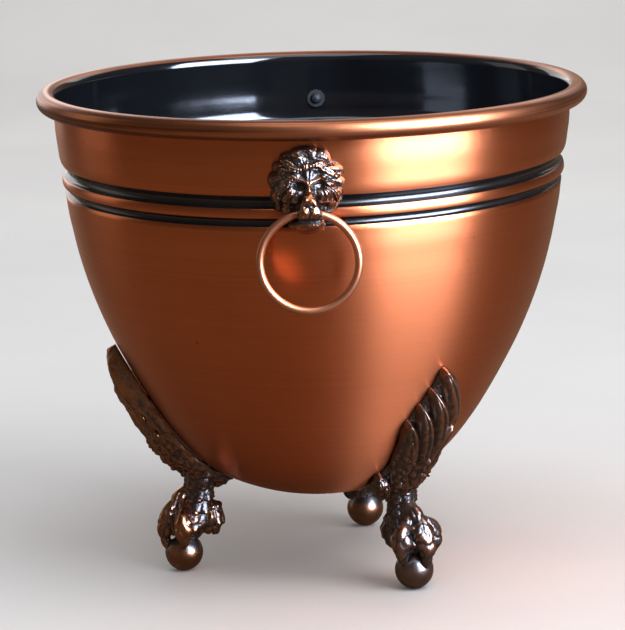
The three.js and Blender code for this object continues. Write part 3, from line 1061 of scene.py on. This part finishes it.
    def muzzle(self) -> Sheet:
        """Nose, lips and jaw as one loop of metal round the ring's pivot line.

        Formula: at each angle round the pivot line a rounded section runs from the hole's edge,
        which grows with the ring's sag, out to the lion's profile; nostrils, lips, whisker pads
        and tufts are added to its outside.

        Returns:
            The closed surface, in the mask's own frame with its face towards -Y.
        """
        profile = np.array([  # angle, reach from the pivot line, half width, shift across
            (-180, 7.9, 6.0, -0.2), (-158, 8.3, 6.4, -0.4), (-133, 10.0, 6.7, -0.6), (-118, 9.9, 6.7, -0.7),
            (-104, 9.0, 7.3, -0.7), (-86, 7.6, 6.6, -0.5), (-66, 6.4, 5.2, 0.0), (-50, 5.3, 4.2, 0.3),
            (-37, 4.0, 4.1, 0.4), (-20, 4.9, 4.6, 0.4), (-4, 6.0, 4.9, 0.5), (10, 6.4, 4.8, 0.5),
            (22, 6.4, 4.3, 0.5), (30, 6.75, 3.7, 0.5), (38, 8.0, 3.3, 0.5), (48, 8.45, 3.0, 0.5),
            (60, 8.6, 2.8, 0.5), (74, 8.9, 2.8, 0.5), (90, 9.6, 3.2, 0.5), (108, 9.8, 4.0, 0.4),
            (127, 9.6, 4.9, 0.3), (148, 8.4, 5.6, 0.1), (180, 7.9, 6.0, -0.2)])
        turn = np.linspace(-180.0, 180.0, 200, endpoint=False)
        reach, half, shift = (np.interp(turn, profile[:, 0], profile[:, k]) for k in (1, 2, 3))
        soft = np.exp(-0.5 * (np.arange(-4, 5) / 1.6) ** 2)
        soft /= soft.sum()
        reach, half, shift = (sum(w * np.roll(v, k - 4) for k, w in enumerate(soft))[:, None]
                              for v in (reach, half, shift))
        around = once_round(132)
        c, s = np.cos(around), np.sin(around)
        across = half * np.sign(c) * np.abs(c) ** 0.8
        lift = 0.5 * (1.0 + np.sign(s) * np.abs(s) ** 0.8)
        hole = self.room(across + shift)
        a = turn[:, None] + 0 * across
        side = np.abs(across)
        detail = sum(bump.height(across, a) for bump in self.snout.values())
        whisker = 0.12 * np.sin(a / 3.6) * np.sin(6.0 * side) * knob(side, a, (2.0, 4.0), (1.2, 12.0))
        lip = 0.55 * knob(a, a, (-62.0, -62.0), (9.0, 9.0)) - 0.35 * knob(a, a, (-88.0, -88.0), (7.0, 7.0))
        beard = lip + 0.10 * np.cos(3.3 * across) * knob(a, a, (-112.0, -112.0), (14.0, 14.0))
        chin = 1.0 - 0.30 * (side / half) ** 2 * np.exp(-0.5 * ((a + 102.0) / 26.0) ** 2)
        out = hole + (reach * chin + detail + whisker + beard - hole) * lift
        turn_r = np.radians(a)
        points = np.stack([across + shift, -(self.hang.pivot_r + out * np.cos(turn_r)),
                           self.hang.pivot_z + out * np.sin(turn_r)], -1)
        rough = lumps(points, 1.5, 11) * lift * 0.06
        points[..., 1] -= rough * np.cos(turn_r)
        points[..., 2] += rough * np.sin(turn_r)
        tight = np.stack([points[..., 0], np.minimum(points[..., 1], -(self.back(
            points[..., 2] - self.centre_z) + 0.1)), points[..., 2]], -1)
        deep = np.clip(0.5 + 1.2 * (detail + beard) + 0.25 * (reach - 6.0), 0, 1)
        jaw = 0.35 * smooth_step(-60.0, -75.0, a)
        worn = np.clip(lift**1.5 * (0.2 + 0.8 * deep + jaw), 0.0, 1.0)
        return Sheet(tight, worn, looped=True)

    def build(self, finishes: Finishes) -> None:
        """Make the mask, turn it to its side of the pot and let it stand for its CAD node.

        Args:
            finishes: the pot's finishes.
        """
        sheets = [self.head(), self.muzzle()]
        c, s = math.cos(math.radians(self.facing)), math.sin(math.radians(self.facing))
        turn = np.array([[c, -s, 0.0], [s, c, 0.0], [0.0, 0.0, 1.0]])
        for sheet in sheets:
            sheet.points = sheet.points @ turn.T
        piece = make_piece(self.node.replace("lion_mask", "cast_mask"), sheets, [finishes.casting])
        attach(piece, "pot")
        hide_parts(self.node)


# ---------------------------------------------------------------- drop ring


@dataclass
class DropRing:
    """A ring of round wire that hangs through the lion's mouth."""

    node: str
    body: str
    facing: float
    hang: RingHang = RingHang()
    steps: int = 224
    sides: int = 28

    def surface(self) -> Sheet:
        """Wire carried round the ring.

        Formula: a circle of the wire's radius goes round a circle of the ring's radius whose top
        is on the pivot line, with a shallow groove where the wire's ends meet in the mouth.

        Returns:
            The closed loop.
        """
        turn = once_round(self.steps).T
        side = once_round(self.sides)
        seam = 0.25 * np.exp(-0.5 * (np.minimum(turn, TAU - turn) / 0.012) ** 2)
        wire = self.hang.wire_r - seam
        reach = self.hang.ring_r + wire * np.cos(side)
        depth = wire * np.sin(side)
        middle = self.hang.pivot_z - self.hang.ring_r
        sign = 1.0 if self.facing == 0.0 else -1.0
        points = np.stack([reach * np.sin(turn) * sign, -sign * (self.hang.pivot_r + depth),
                           middle + reach * np.cos(turn) + 0 * side], -1)
        flow = np.stack([3.0 * np.sin(turn) + np.cos(side) * 2.0, 3.0 * np.cos(turn) + 0 * side,
                         np.sin(side) * 2.0 + 0 * turn], -1)
        worn = 0.55 + 0.3 * np.cos(side) + 0 * turn
        return Sheet(points, worn, 0.12, flow, looped=True)

    def build(self, finishes: Finishes) -> None:
        """Make the ring on its own swinging body.

        Args:
            finishes: the pot's finishes.
        """
        piece = make_piece(self.node.replace("ring", "wire_ring"), [self.surface()], [finishes.ring])
        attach(piece, self.body)
        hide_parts(self.node)


# ---------------------------------------------------------------- claw foot


@dataclass(frozen=True)
class Feather:
    """One blade of the wing: its middle line on the wall, its half width and its rise.

    lift is how far its root and its tip stand off the leaf, quill is the depth of its middle
    groove, and barbs is the height of the slanting ridges.
    """

    line: list[tuple[float, float]]
    width: float
    rise: float = 1.9
    lift: tuple[float, float] = (0.2, 0.6)
    quill: float = 0.5
    barbs: float = 0.16


@dataclass(frozen=True)
class FurMass:
    """A rounded mass of the paw: its middle and half lengths out, across and up.

    rough is the height of its tufts, grain the distance between them, seed picks their
    unevenness, and rubbed is how bright its middle level is.
    """

    centre: tuple[float, float, float]
    size: tuple[float, float, float]
    rough: float
    grain: float
    seed: int
    rubbed: float = 0.4


@dataclass
class ClawFoot:
    """A cast foot: a winged acanthus leaf on the bowl's wall, an ankle, a paw and a ball.

    rows gives the leaf's height, left edge, right edge and crest from the bottom up. The toes and
    the ankle are points along a middle line: distance out, height and radius. A toe's distance is
    taken from the paw's middle and an ankle's from the pot's axis. Each scroll has a place along
    the wall, a height, a radius and how far its middle stands from the wall.
    """

    node: str
    azimuth: float
    bowl: Bowl
    # The three feet are one casting, each dulled by its own amount, with the left one also brightened: the
    # right foot darkest, the rear less, the left least.
    darkening: float = 0.0
    ball_darkening: float = 0.2
    brightening: float = 0.0
    toe_fur: float = 0.75
    ball_r: float = 8.05
    ball_s: float = 59.3
    ball_z: float = 7.95
    paw_s: float = 57.9
    lowest_toe: float = 0.4
    clear: float = 0.5
    rows: list[tuple[float, float, float, float]] = field(default_factory=lambda: [
        (40.6, -9.0, 7.0, 2.6), (44.0, -12.5, 8.6, 5.2), (48.5, -13.4, 8.8, 7.2), (55.0, -11.4, 8.6, 7.4),
        (63.0, -12.4, 8.2, 7.0), (71.0, -14.0, 8.4, 6.8), (77.0, -14.2, 8.8, 6.6),
        (83.0, -11.8, 8.2, 6.6), (89.0, -9.0, 5.0, 5.0), (94.5, -7.6, 1.6, 3.2), (97.0, -6.8, -2.0, 2.0)])
    feathers: list[Feather] = field(default_factory=lambda: [
        Feather([(5.5, 66), (3.6, 80), (-1.2, 91), (-6.4, 98.8)], 5.2, 2.8, (0.6, 1.4)),
        Feather([(0.5, 64), (-2.4, 76), (-5.6, 84), (-9.0, 90.0)], 3.7, 2.8, (1.0, 1.8)),
        Feather([(-3.2, 60), (-6.6, 71), (-9.4, 78), (-12.0, 83.4)], 3.5, 2.7, (0.6, 1.6)),
        Feather([(-6.4, 56), (-9.8, 65), (-12.4, 71), (-14.8, 76.4)], 3.4, 2.5, (0.3, 1.4)),
        Feather([(4.8, 58), (6.2, 66), (6.6, 72), (5.6, 79)], 3.4, 1.9, (0.9, 0.9)),
        Feather([(-1.0, 52), (-0.5, 62), (0.6, 70), (3.2, 77)], 4.2, 2.2, (1.2, 1.6)),
        Feather([(-6.0, 48), (-8.4, 57), (-10.8, 65), (-12.8, 70.5)], 3.6, 2.0, (0.8, 1.2)),
        Feather([(4.0, 46), (5.6, 53), (6.6, 58), (7.2, 65)], 3.4, 2.0, (0.8, 1.4)),
        Feather([(-1.0, 42), (-2.6, 50), (-3.6, 57), (-3.0, 64)], 3.8, 2.2, (1.0, 1.8)),
        Feather([(2.4, 41), (4.4, 45.5), (6.2, 49.5), (7.6, 55)], 3.0, 1.9, (0.4, 1.4)),
        Feather([(-3.0, 41), (-7.0, 44.5), (-11.0, 47.5), (-14.4, 50.5)], 3.0, 1.8, (0.3, 1.0))])
    scrolls: tuple[tuple[float, float, float, float], ...] = (
        (4.6, 72.0, 2.3, 6.6), (5.4, 64.5, 2.0, 6.2))
    ankle_line: tuple[tuple[float, float, float], ...] = (
        (50.6, 44.5, 7.6), (51.2, 40, 7.1), (51.9, 36, 6.2), (52.6, 31, 6.3), (53.6, 26, 7.2),
        (54.6, 20, 7.0), (55.2, 16, 4.5))
    paw: tuple[FurMass, ...] = (
        FurMass((57.4, 0.0, 21.6), (8.8, 8.6, 8.6), 1.1, 6.4, 81),
        FurMass((47.4, 0.0, 22.6), (5.8, 5.8, 7.6), 1.2, 5.0, 82, 0.46),
        FurMass((64.4, 0.0, 24.0), (4.4, 5.6, 5.4), 0.8, 5.4, 83, 0.46))
    front_toe: tuple[tuple[float, float, float], ...] = (
        (-3.0, 35.0, 2.6), (2.2, 32.0, 3.2), (6.0, 27.0, 3.4), (8.6, 21.0, 3.5), (9.3, 15.4, 2.8),
        (8.6, 11.0, 1.8), (7.9, 8.4, 0.8))
    side_toe: tuple[tuple[float, float, float], ...] = (
        (0.0, 30.0, 2.4), (4.6, 28.4, 2.8), (8.2, 25.0, 3.4), (9.6, 20.4, 3.5), (9.4, 16.2, 2.9),
        (8.4, 12.8, 1.9), (7.4, 10.8, 0.8))

    def place(self, t: Array, z: Array, n: Array) -> Array:
        """Point on the bowl's wall.

        Formula: the wall's radius and normal at height z, n along that normal, and t along the
        wall turned into an angle about the axis.

        Args:
            t: distance along the wall, mm, towards a larger azimuth.
            z: height of the wall point.
            n: distance out from the wall.

        Returns:
            The point's place.
        """
        radius, out, up = self.bowl.wall(z)
        s = radius + out * n
        angle = math.radians(self.azimuth) + t / (radius + 4.0)
        return np.stack([s * np.sin(angle), -s * np.cos(angle), z + up * n], -1)

    def stand(self, s: Array, t: Array, z: Array) -> Array:
        """Point given by its distance out along the foot's azimuth, across it and up."""
        a = math.radians(self.azimuth)
        return np.stack([s * math.sin(a) + t * math.cos(a), -s * math.cos(a) + t * math.sin(a), z], -1)

    def section(self, z: Array) -> tuple[Array, ...]:
        """Left edge, right edge and crest of the leaf at a height."""
        table = np.array(self.rows)
        return tuple(np.interp(z, table[:, 0], table[:, k]) for k in (1, 2, 3))

    def swell(self, t: Array, z: Array) -> Array:
        """Height of the leaf's body above the wall.

        Formula: between its left and right edges a rounded crest, and a thin rim beyond them.

        Args:
            t: distance along the wall.
            z: height of the wall point.

        Returns:
            The height in mm.
        """
        left, right, crest = self.section(z)
        across = (2 * t - left - right) / (right - left)
        return 1.3 + (crest - 1.3) * np.clip(1.0 - np.abs(across) ** 2.2, 0.0, 1.0)

    def leaf_body(self) -> Sheet:
        """The thick leaf that the feathers lie on.

        Formula: a closed section at each height, over the swell from edge to edge and back along
        the wall, creased by irregular lumps.

        Returns:
            The closed surface.
        """
        z = np.linspace(self.rows[0][0], self.rows[-1][0], 110)[:, None]
        left, right = self.section(z)[:2]
        around = once_round(96)
        t = 0.5 * (left + right) + 0.5 * (right - left) * 0.97 * np.cos(around)
        top = np.sin(around) > 0
        edge = np.abs(np.sin(around)) ** 0.5
        n = np.where(top, self.clear + (self.swell(t, z) - self.clear) * edge, self.clear)
        lump = creases(np.stack([t, z + 0 * t, 0.3 * n], -1), 4.2, 21)
        n = n + np.where(top, 1.5 * (lump - 0.6) * edge * smooth_step(0.5, 3.0, n), 0.0)
        points = self.place(t, z + 0 * t, np.maximum(n, self.clear))
        worn = np.clip(0.35 + 1.1 * proud(points, 10), 0, 1)
        return Sheet(points, worn, self.darkening)

    def blade(self, feather: Feather, number: int) -> Sheet:
        """One feather of the wing.

        Formula: a leaf section carried along a curved middle line on the wall, wide in the middle
        and round at the tip, domed on top with a grooved quill and slanting barbs.

        Args:
            feather: its sizes.
            number: its place in the wing, which picks its unevenness.

        Returns:
            The closed surface.
        """
        path = curve_through(feather.line, 56)
        share = np.linspace(0.0, 1.0, 56)[:, None]
        side = left_normals(path)
        round_tip = np.sqrt(np.clip(1.0 - np.clip((share - 0.72) / 0.28, 0, 1) ** 2.4, 0.0, 1.0))
        width = feather.width * (0.62 + 0.38 * np.sin(math.pi * np.clip(share * 1.1, 0, 1))) \
            * np.maximum(round_tip, 0.04) * smooth_step(-0.05, 0.08, share)
        around = once_round(48)
        u = np.cos(around)
        t = path[:, :1] + side[:, :1] * width * u
        z = path[:, 1:] + side[:, 1:] * width * u
        top = np.sin(around) > 0
        body = self.swell(t, z)
        curl = 2.0 if feather.line[-1][1] < 80.0 else 0.7
        lift = feather.lift[0] + (feather.lift[1] - feather.lift[0]) * share + curl * share**2
        flute = np.abs(np.cos(1.5 * math.pi * u + 0.5 * math.pi)) ** 0.8 - 0.6
        barb = feather.barbs * (2.6 * flute + 0.5 * np.cos(40 * share + 6.0 * np.abs(u)))
        dome = feather.rise * np.abs(np.sin(around)) ** 0.7 \
            - feather.quill * np.exp(-0.5 * (u / 0.13) ** 2) * smooth_step(0.0, 0.3, 1.05 - share)
        over = body + lift + (dome + barb * np.abs(np.sin(around))) * np.maximum(round_tip, 0.15)
        under = np.maximum(body - 1.4, self.clear)
        edge = np.abs(np.sin(around)) ** 0.5
        n = np.where(top, under + (over - under) * edge, under)
        spot = np.stack([t, z, n], -1)
        wild = smooth_step(70.0, 56.0, z) * edge
        ragged = wild * (1.9 * creases(spot, 3.6, 30 + number) - 1.1)
        n = n + top * (0.07 * lumps(spot, 2.6, 40 + number) + ragged)
        points = self.place(t, z, np.maximum(n, self.clear))
        worn = np.clip(0.40 + 1.3 * proud(points, 8) + 0.12 * share, 0, 1)
        return Sheet(points, worn, self.darkening)

    def boss(self, t: float, z: float, size: float, rise: float) -> Sheet:
        """A small round scroll end on the leaf.

        Formula: a flattened ball whose surface turns in a shallow spiral groove.

        Args:
            t, z: its place on the wall.
            size: its radius.
            rise: how far its middle is from the wall.

        Returns:
            The closed surface.
        """
        polar = np.linspace(0.05, math.pi - 0.05, 26)[:, None]
        around = once_round(36)
        groove = 1.0 + 0.10 * np.cos(around - 5.0 * polar)
        dt = size * groove * np.sin(polar) * np.cos(around)
        dz = size * groove * np.sin(polar) * np.sin(around)
        dn = 0.8 * size * np.cos(polar) + 0 * around
        points = self.place(t + dt, z + dz, rise + dn)
        return Sheet(points, np.clip(0.75 + 2.0 * proud(points, 5), 0, 1), self.darkening)

    def ankle(self) -> Sheet:
        """The leg from the leaf down into the paw, covered in hanging tufts.

        Formula: rings of changing radius about a slightly bent middle line, with pointed tufts in
        overlapping rows.

        Returns:
            The closed surface.
        """
        line = curve_through(self.ankle_line, 90)
        middle, z, radius = line[:, :1], line[:, 1:2], line[:, 2:]
        around = once_round(110)
        row = (46.0 - z) / 5.2
        phase = np.floor(row) * 1.3
        comb = 7 * around + phase + 0.6 * np.sin(2 * around + row)
        ridge = np.abs(np.cos(comb / 2)) ** 0.7
        part = row - np.floor(row)
        tuft = ridge * (0.3 + 0.9 * part) * smooth_step(1.02, 0.86, part + 0.12 * (1 - ridge))
        radius = radius + 1.0 * tuft - 0.35
        points = self.stand(middle + radius * np.cos(around), radius * 0.96 * np.sin(around),
                            z + 0 * around)
        points = points + 0.12 * lumps(points, 1.7, 61)[..., None]
        return Sheet(points, np.clip(0.38 + 1.3 * proud(points, 9), 0, 1), self.darkening)

    def lump(self, mass: FurMass) -> Sheet:
        """A rounded mass of fur.

        Formula: an ellipsoid pushed out along its own radius by rows of pointed tufts.

        Args:
            mass: its sizes.

        Returns:
            The closed surface.
        """
        centre, size = mass.centre, mass.size
        polar = np.linspace(0.04, math.pi - 0.04, 80)[:, None]
        around = once_round(96)
        ds = size[0] * np.sin(polar) * np.cos(around)
        dt = size[1] * np.sin(polar) * np.sin(around)
        dz = size[2] * np.cos(polar) + 0 * around
        row = polar / math.pi * 2.0 * size[2] / mass.grain
        part = row - np.floor(row)
        tufts = round(3.6 * size[0] / mass.grain) * 2
        comb = tufts * around + 2.1 * np.floor(row) + 0.8 * np.sin(3 * around + mass.seed)
        ridge = np.abs(np.cos(comb / 2)) ** 0.8
        tuft = ridge * (0.25 + 0.85 * part) * smooth_step(1.05, 0.8, part + 0.15 * (1 - ridge))
        soft = lumps(np.stack([ds, dt, dz], -1), mass.grain * 0.9, mass.seed)
        out = 1.0 + mass.rough * (tuft - 0.55 + 0.22 * soft) / max(size)
        points = self.stand(centre[0] + ds * out, centre[1] + dt * out, centre[2] + dz * out)
        return Sheet(points, np.clip(mass.rubbed + 1.5 * proud(points, 8), 0, 1), self.darkening)

    def toe(self, spread: float, knots: tuple[tuple[float, ...], ...], gloss: float) -> Sheet:
        """A toe that grips the ball.

        Formula: rings of changing radius along a curve in the plane that stands at the toe's
        spread, swollen at the knuckles, creased by fur and rounded off at the tip.

        Args:
            spread: angle of the toe about the paw, degrees from straight out.
            knots: distance from the paw's middle, height and radius along the toe.
            gloss: how rubbed it is.

        Returns:
            The closed surface.
        """
        line = curve_through(knots, 72)
        out, z, radius = line[:, :1], line[:, 1:2], line[:, 2:]
        tail = np.linspace(0.0, 1.0, 72)[:, None]
        radius = radius * np.sqrt(np.clip(1.0 - np.clip((tail - 0.86) / 0.14, 0, 1) ** 2, 0.0, 1.0)) + 0.05
        knuckle = 1.0 + 0.15 * np.cos(TAU * (1.7 * tail + 0.05))
        around = once_round(56)
        ahead = np.gradient(line[:, :2], axis=0)
        ahead /= np.linalg.norm(ahead, axis=1, keepdims=True)
        c, s = math.cos(math.radians(spread)), math.sin(math.radians(spread))
        bare = np.stack([out + radius * np.cos(around), radius * np.sin(around), z + 0 * around], -1)
        rough = self.toe_fur * smooth_step(0.98, 0.7, tail)
        hide = rough * (1.3 * creases(bare, 8.0, int(70 + spread)) - 0.8) \
            + 0.06 * rough * lumps(bare, 1.8, int(90 + spread))
        reach = radius * knuckle + hide
        away = out + reach * ahead[:, 1:] * -np.cos(around)
        up = z + reach * ahead[:, :1] * np.cos(around)
        across = reach * 1.05 * np.sin(around)
        points = self.stand(self.paw_s + away * c - across * s, away * s + across * c,
                            np.maximum(up, self.lowest_toe))
        worn = np.clip(gloss + 0.9 * proud(points, 10) + 0.12 * np.cos(around), 0, 1)
        return Sheet(points, worn, self.darkening)

    def ball(self) -> Sheet:
        """The ball, a hair flat where it stands on the floor.

        Formula: a sphere cut off at floor level.

        Returns:
            The closed surface.
        """
        polar = np.linspace(0.03, math.pi - 0.03, 60)[:, None]
        around = once_round(88)
        ds = self.ball_r * np.sin(polar) * np.cos(around)
        dt = self.ball_r * np.sin(polar) * np.sin(around)
        dz = self.ball_r * np.cos(polar) + 0 * around
        z = np.maximum(self.ball_z + dz, 0.0)
        points = self.stand(self.ball_s + ds, dt, z)
        worn = np.clip(0.86 - 0.5 * smooth_step(9.0, 15.0, z) + 0.10 * lumps(points, 6.0, 71), 0, 1)
        return Sheet(points, worn, self.ball_darkening)

    def build(self, finishes: Finishes) -> None:
        """Make the foot and let it stand for its CAD node.

        Args:
            finishes: the pot's finishes.
        """
        sheets = [self.leaf_body(), *(self.blade(f, k) for k, f in enumerate(self.feathers)),
                  *(self.boss(*scroll) for scroll in self.scrolls), self.ankle(),
                  *(self.lump(mass) for mass in self.paw), self.toe(0.0, self.front_toe, 0.46),
                  self.toe(74.0, self.side_toe, 0.5), self.toe(-68.0, self.side_toe, 0.46), self.ball()]
        for sheet in sheets[:-1]:
            sheet.worn = np.clip(sheet.worn + self.brightening, 0.0, 1.0)
        piece = make_piece(self.node.replace("foot", "claw_foot"), sheets, [finishes.casting])
        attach(piece, "pot")
        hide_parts(self.node)


# ---------------------------------------------------------------- screws and washers


@dataclass
class Fixings:
    """The slotted screws and plain washers inside the bowl, dressed where their CAD nodes lie."""

    def build(self, finishes: Finishes, frame: dict) -> None:
        """Give each screw and washer its black finish.

        Args:
            finishes: the pot's finishes.
            frame: the loaded frame.
        """
        for name, node in frame["nodes"].items():
            if name.endswith(("_screw", "_washer")):
                node.data.materials.clear()
                node.data.materials.append(finishes.fixing)
                log.info("%s dressed", name)


# ---------------------------------------------------------------- studio


@dataclass
class SoftLight:
    """A rectangular soft light that faces a point on the pot; distances and sizes in metres."""

    name: str
    azimuth: float
    elevation: float
    distance: float
    size: tuple[float, float]
    watts: float
    colour: tuple[float, float, float] = (1.0, 1.0, 1.0)
    aim: tuple[float, float, float] = (0.0, 0.0, 0.11)
    only_gloss: bool = False

    def build(self) -> None:
        """Place the light."""
        lamp = bpy.data.lights.new(self.name, "AREA")
        lamp.shape = "RECTANGLE"
        lamp.size, lamp.size_y = self.size
        lamp.energy = self.watts
        lamp.color = self.colour
        holder = bpy.data.objects.new(self.name, lamp)
        bpy.context.scene.collection.objects.link(holder)
        a, e = math.radians(self.azimuth), math.radians(self.elevation)
        away = Vector((math.sin(a) * math.cos(e), -math.cos(a) * math.cos(e), math.sin(e)))
        holder.location = Vector(self.aim) + self.distance * away
        holder.rotation_euler = away.to_track_quat("Z", "Y").to_euler()
        holder.visible_diffuse = not self.only_gloss


@dataclass
class Studio:
    """Pale floor, soft lights and the camera.

    The camera's place is in mm, its angles in radians but for the swing in degrees. The floor is
    in metres: it bends up behind the pot. The glows are the surroundings' strength: everywhere,
    and added where they are seen directly and where they light a dull surface.
    """

    distance: float = 1336.0
    height: float = 379.7
    swing: float = 1.1
    yaw: float = -0.0012
    pitch: float = 0.2012
    roll: float = -0.0219
    lens: float = 184.382857
    sensor: float = 36.0
    floor_reach: float = 6.0
    bend_from: float = 1.4
    bend_r: float = 0.9
    wall_top: float = 4.5
    glow: float = 0.10
    glow_seen: float = 0.55
    glow_spread: float = 0.55
    cool_sky: tuple[float, float, float] = (0.94, 0.96, 1.0)
    warm_sky: tuple[float, float, float] = (1.0, 0.84, 0.68)

    def camera(self) -> None:
        """Stand the camera in front of the pot, slightly to the right and looking down."""
        lens = bpy.data.cameras.new("camera")
        lens.sensor_width = self.sensor
        lens.lens = self.lens
        lens.dof.use_dof = False
        holder = bpy.data.objects.new("camera", lens)
        bpy.context.scene.collection.objects.link(holder)
        swing = math.radians(self.swing)
        ahead = Vector((math.sin(self.yaw) * math.cos(self.pitch),
                        math.cos(self.yaw) * math.cos(self.pitch), -math.sin(self.pitch)))
        ahead = Matrix.Rotation(swing, 3, "Z") @ ahead
        right = ahead.cross(Vector((0, 0, 1))).normalized()
        up = right.cross(ahead)
        c, s = math.cos(self.roll), math.sin(self.roll)
        across, above = c * right + s * up, -s * right + c * up
        turn = Matrix((across, above, -ahead)).transposed().to_4x4()
        stand = Vector((self.distance * math.sin(swing), -self.distance * math.cos(swing), self.height))
        holder.matrix_world = Matrix.Translation(stand * MM) @ turn
        bpy.context.scene.camera = holder

    def floor(self, finishes: Finishes) -> None:
        """Lay a pale floor that curves up far behind the pot.

        Formula: a flat strip that turns up through a quarter circle into a wall, carried straight
        across.

        Args:
            finishes: the pot's finishes.
        """
        bend = np.radians(np.linspace(0.0, 90.0, 24))
        run = np.concatenate([[-self.floor_reach], self.bend_from + self.bend_r * np.sin(bend),
                              [self.bend_from + self.bend_r]])
        rise = np.concatenate([[0.0], self.bend_r * (1.0 - np.cos(bend)), [self.wall_top]])
        across = np.array([-self.floor_reach, self.floor_reach])
        x, y = np.meshgrid(across, run)
        points = np.stack([x, y, np.broadcast_to(rise[:, None], x.shape)], -1).reshape(-1, 3)
        first = np.arange(len(run) - 1)[:, None] * 2
        faces = (first + np.array([0, 1, 3, 2])).tolist()
        mesh = bpy.data.meshes.new("floor")
        mesh.from_pydata(points, [], faces)
        mesh.shade_smooth()
        mesh.materials.append(finishes.floor)
        ground = bpy.data.objects.new("floor", mesh)
        bpy.context.scene.collection.objects.link(ground)

    def light(self) -> None:
        """Hang the soft lights and set the surroundings."""
        for lamp in (
            SoftLight("window", 50.0, 42.0, 1.9, (1.3, 1.1), 22.0, (0.97, 1.0, 1.04)),
            SoftLight("window_glass", 50.0, 20.0, 1.45, (1.12, 1.5), 150.0, (0.90, 1.06, 1.40),
                      only_gloss=True),
            SoftLight("left_wall", -108.0, 10.0, 1.7, (0.7, 1.6), 2.5, (1.0, 0.97, 0.94)),
            SoftLight("far_wall", -158.0, 8.0, 1.9, (1.1, 1.6), 10.0, only_gloss=True),
            SoftLight("ceiling", 15.0, 78.0, 1.8, (1.3, 1.3), 16.0, (0.90, 0.97, 1.08)),
            SoftLight("behind", 170.0, 35.0, 1.9, (1.8, 0.9), 9.0),
        ):
            lamp.build()
        world = bpy.data.worlds.new("surroundings")
        world.use_nodes = True
        r = Recipe(world.node_tree)
        seen = r.node("ShaderNodeLightPath").outputs["Is Camera Ray"]
        spread = r.node("ShaderNodeLightPath").outputs["Is Diffuse Ray"]
        glow = r.sum("MULTIPLY_ADD", seen, self.glow_seen, self.glow)
        glow = r.sum("MULTIPLY_ADD", spread, self.glow_spread, glow)
        tint = r.blend(r.sum("ADD", seen, spread), self.warm_sky, self.cool_sky)
        sky = r.node("ShaderNodeBackground", {"Color": tint, "Strength": glow})
        r.node("ShaderNodeOutputWorld", {"Surface": sky.outputs[0]})
        bpy.context.scene.world = world
        bpy.context.scene.view_settings.view_transform = "Standard"

    def build(self, finishes: Finishes) -> None:
        """Set up the camera, floor and lights.

        Args:
            finishes: the pot's finishes.
        """
        self.camera()
        self.floor(finishes)
        self.light()


def main() -> None:
    """Load the frame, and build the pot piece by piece."""
    logging.basicConfig(level=logging.INFO, format="%(message)s")
    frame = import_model()
    finishes = Finishes()
    Studio().build(finishes)
    bowl = Bowl()
    bowl.build(finishes)
    LionMask("lion_mask_front").build(finishes)
    LionMask("lion_mask_rear", facing=180.0).build(finishes)
    DropRing("ring_front", "front_ring", 0.0).build(finishes)
    DropRing("ring_rear", "rear_ring", 180.0).build(finishes)
    # One casting three times, darkened by a different amount on each foot: most on the right, less at the
    # rear, least on the left, which is also brightened.
    ClawFoot("foot_right", 41.4, bowl, darkening=0.45, ball_darkening=0.85).build(finishes)
    ClawFoot("foot_rear", 161.4, bowl, darkening=0.25, ball_darkening=0.35).build(finishes)
    ClawFoot("foot_left", -78.6, bowl, darkening=0.0, ball_darkening=0.1, brightening=0.10).build(finishes)
    Fixings().build(finishes, frame)


if __name__ == "__main__":
    main()
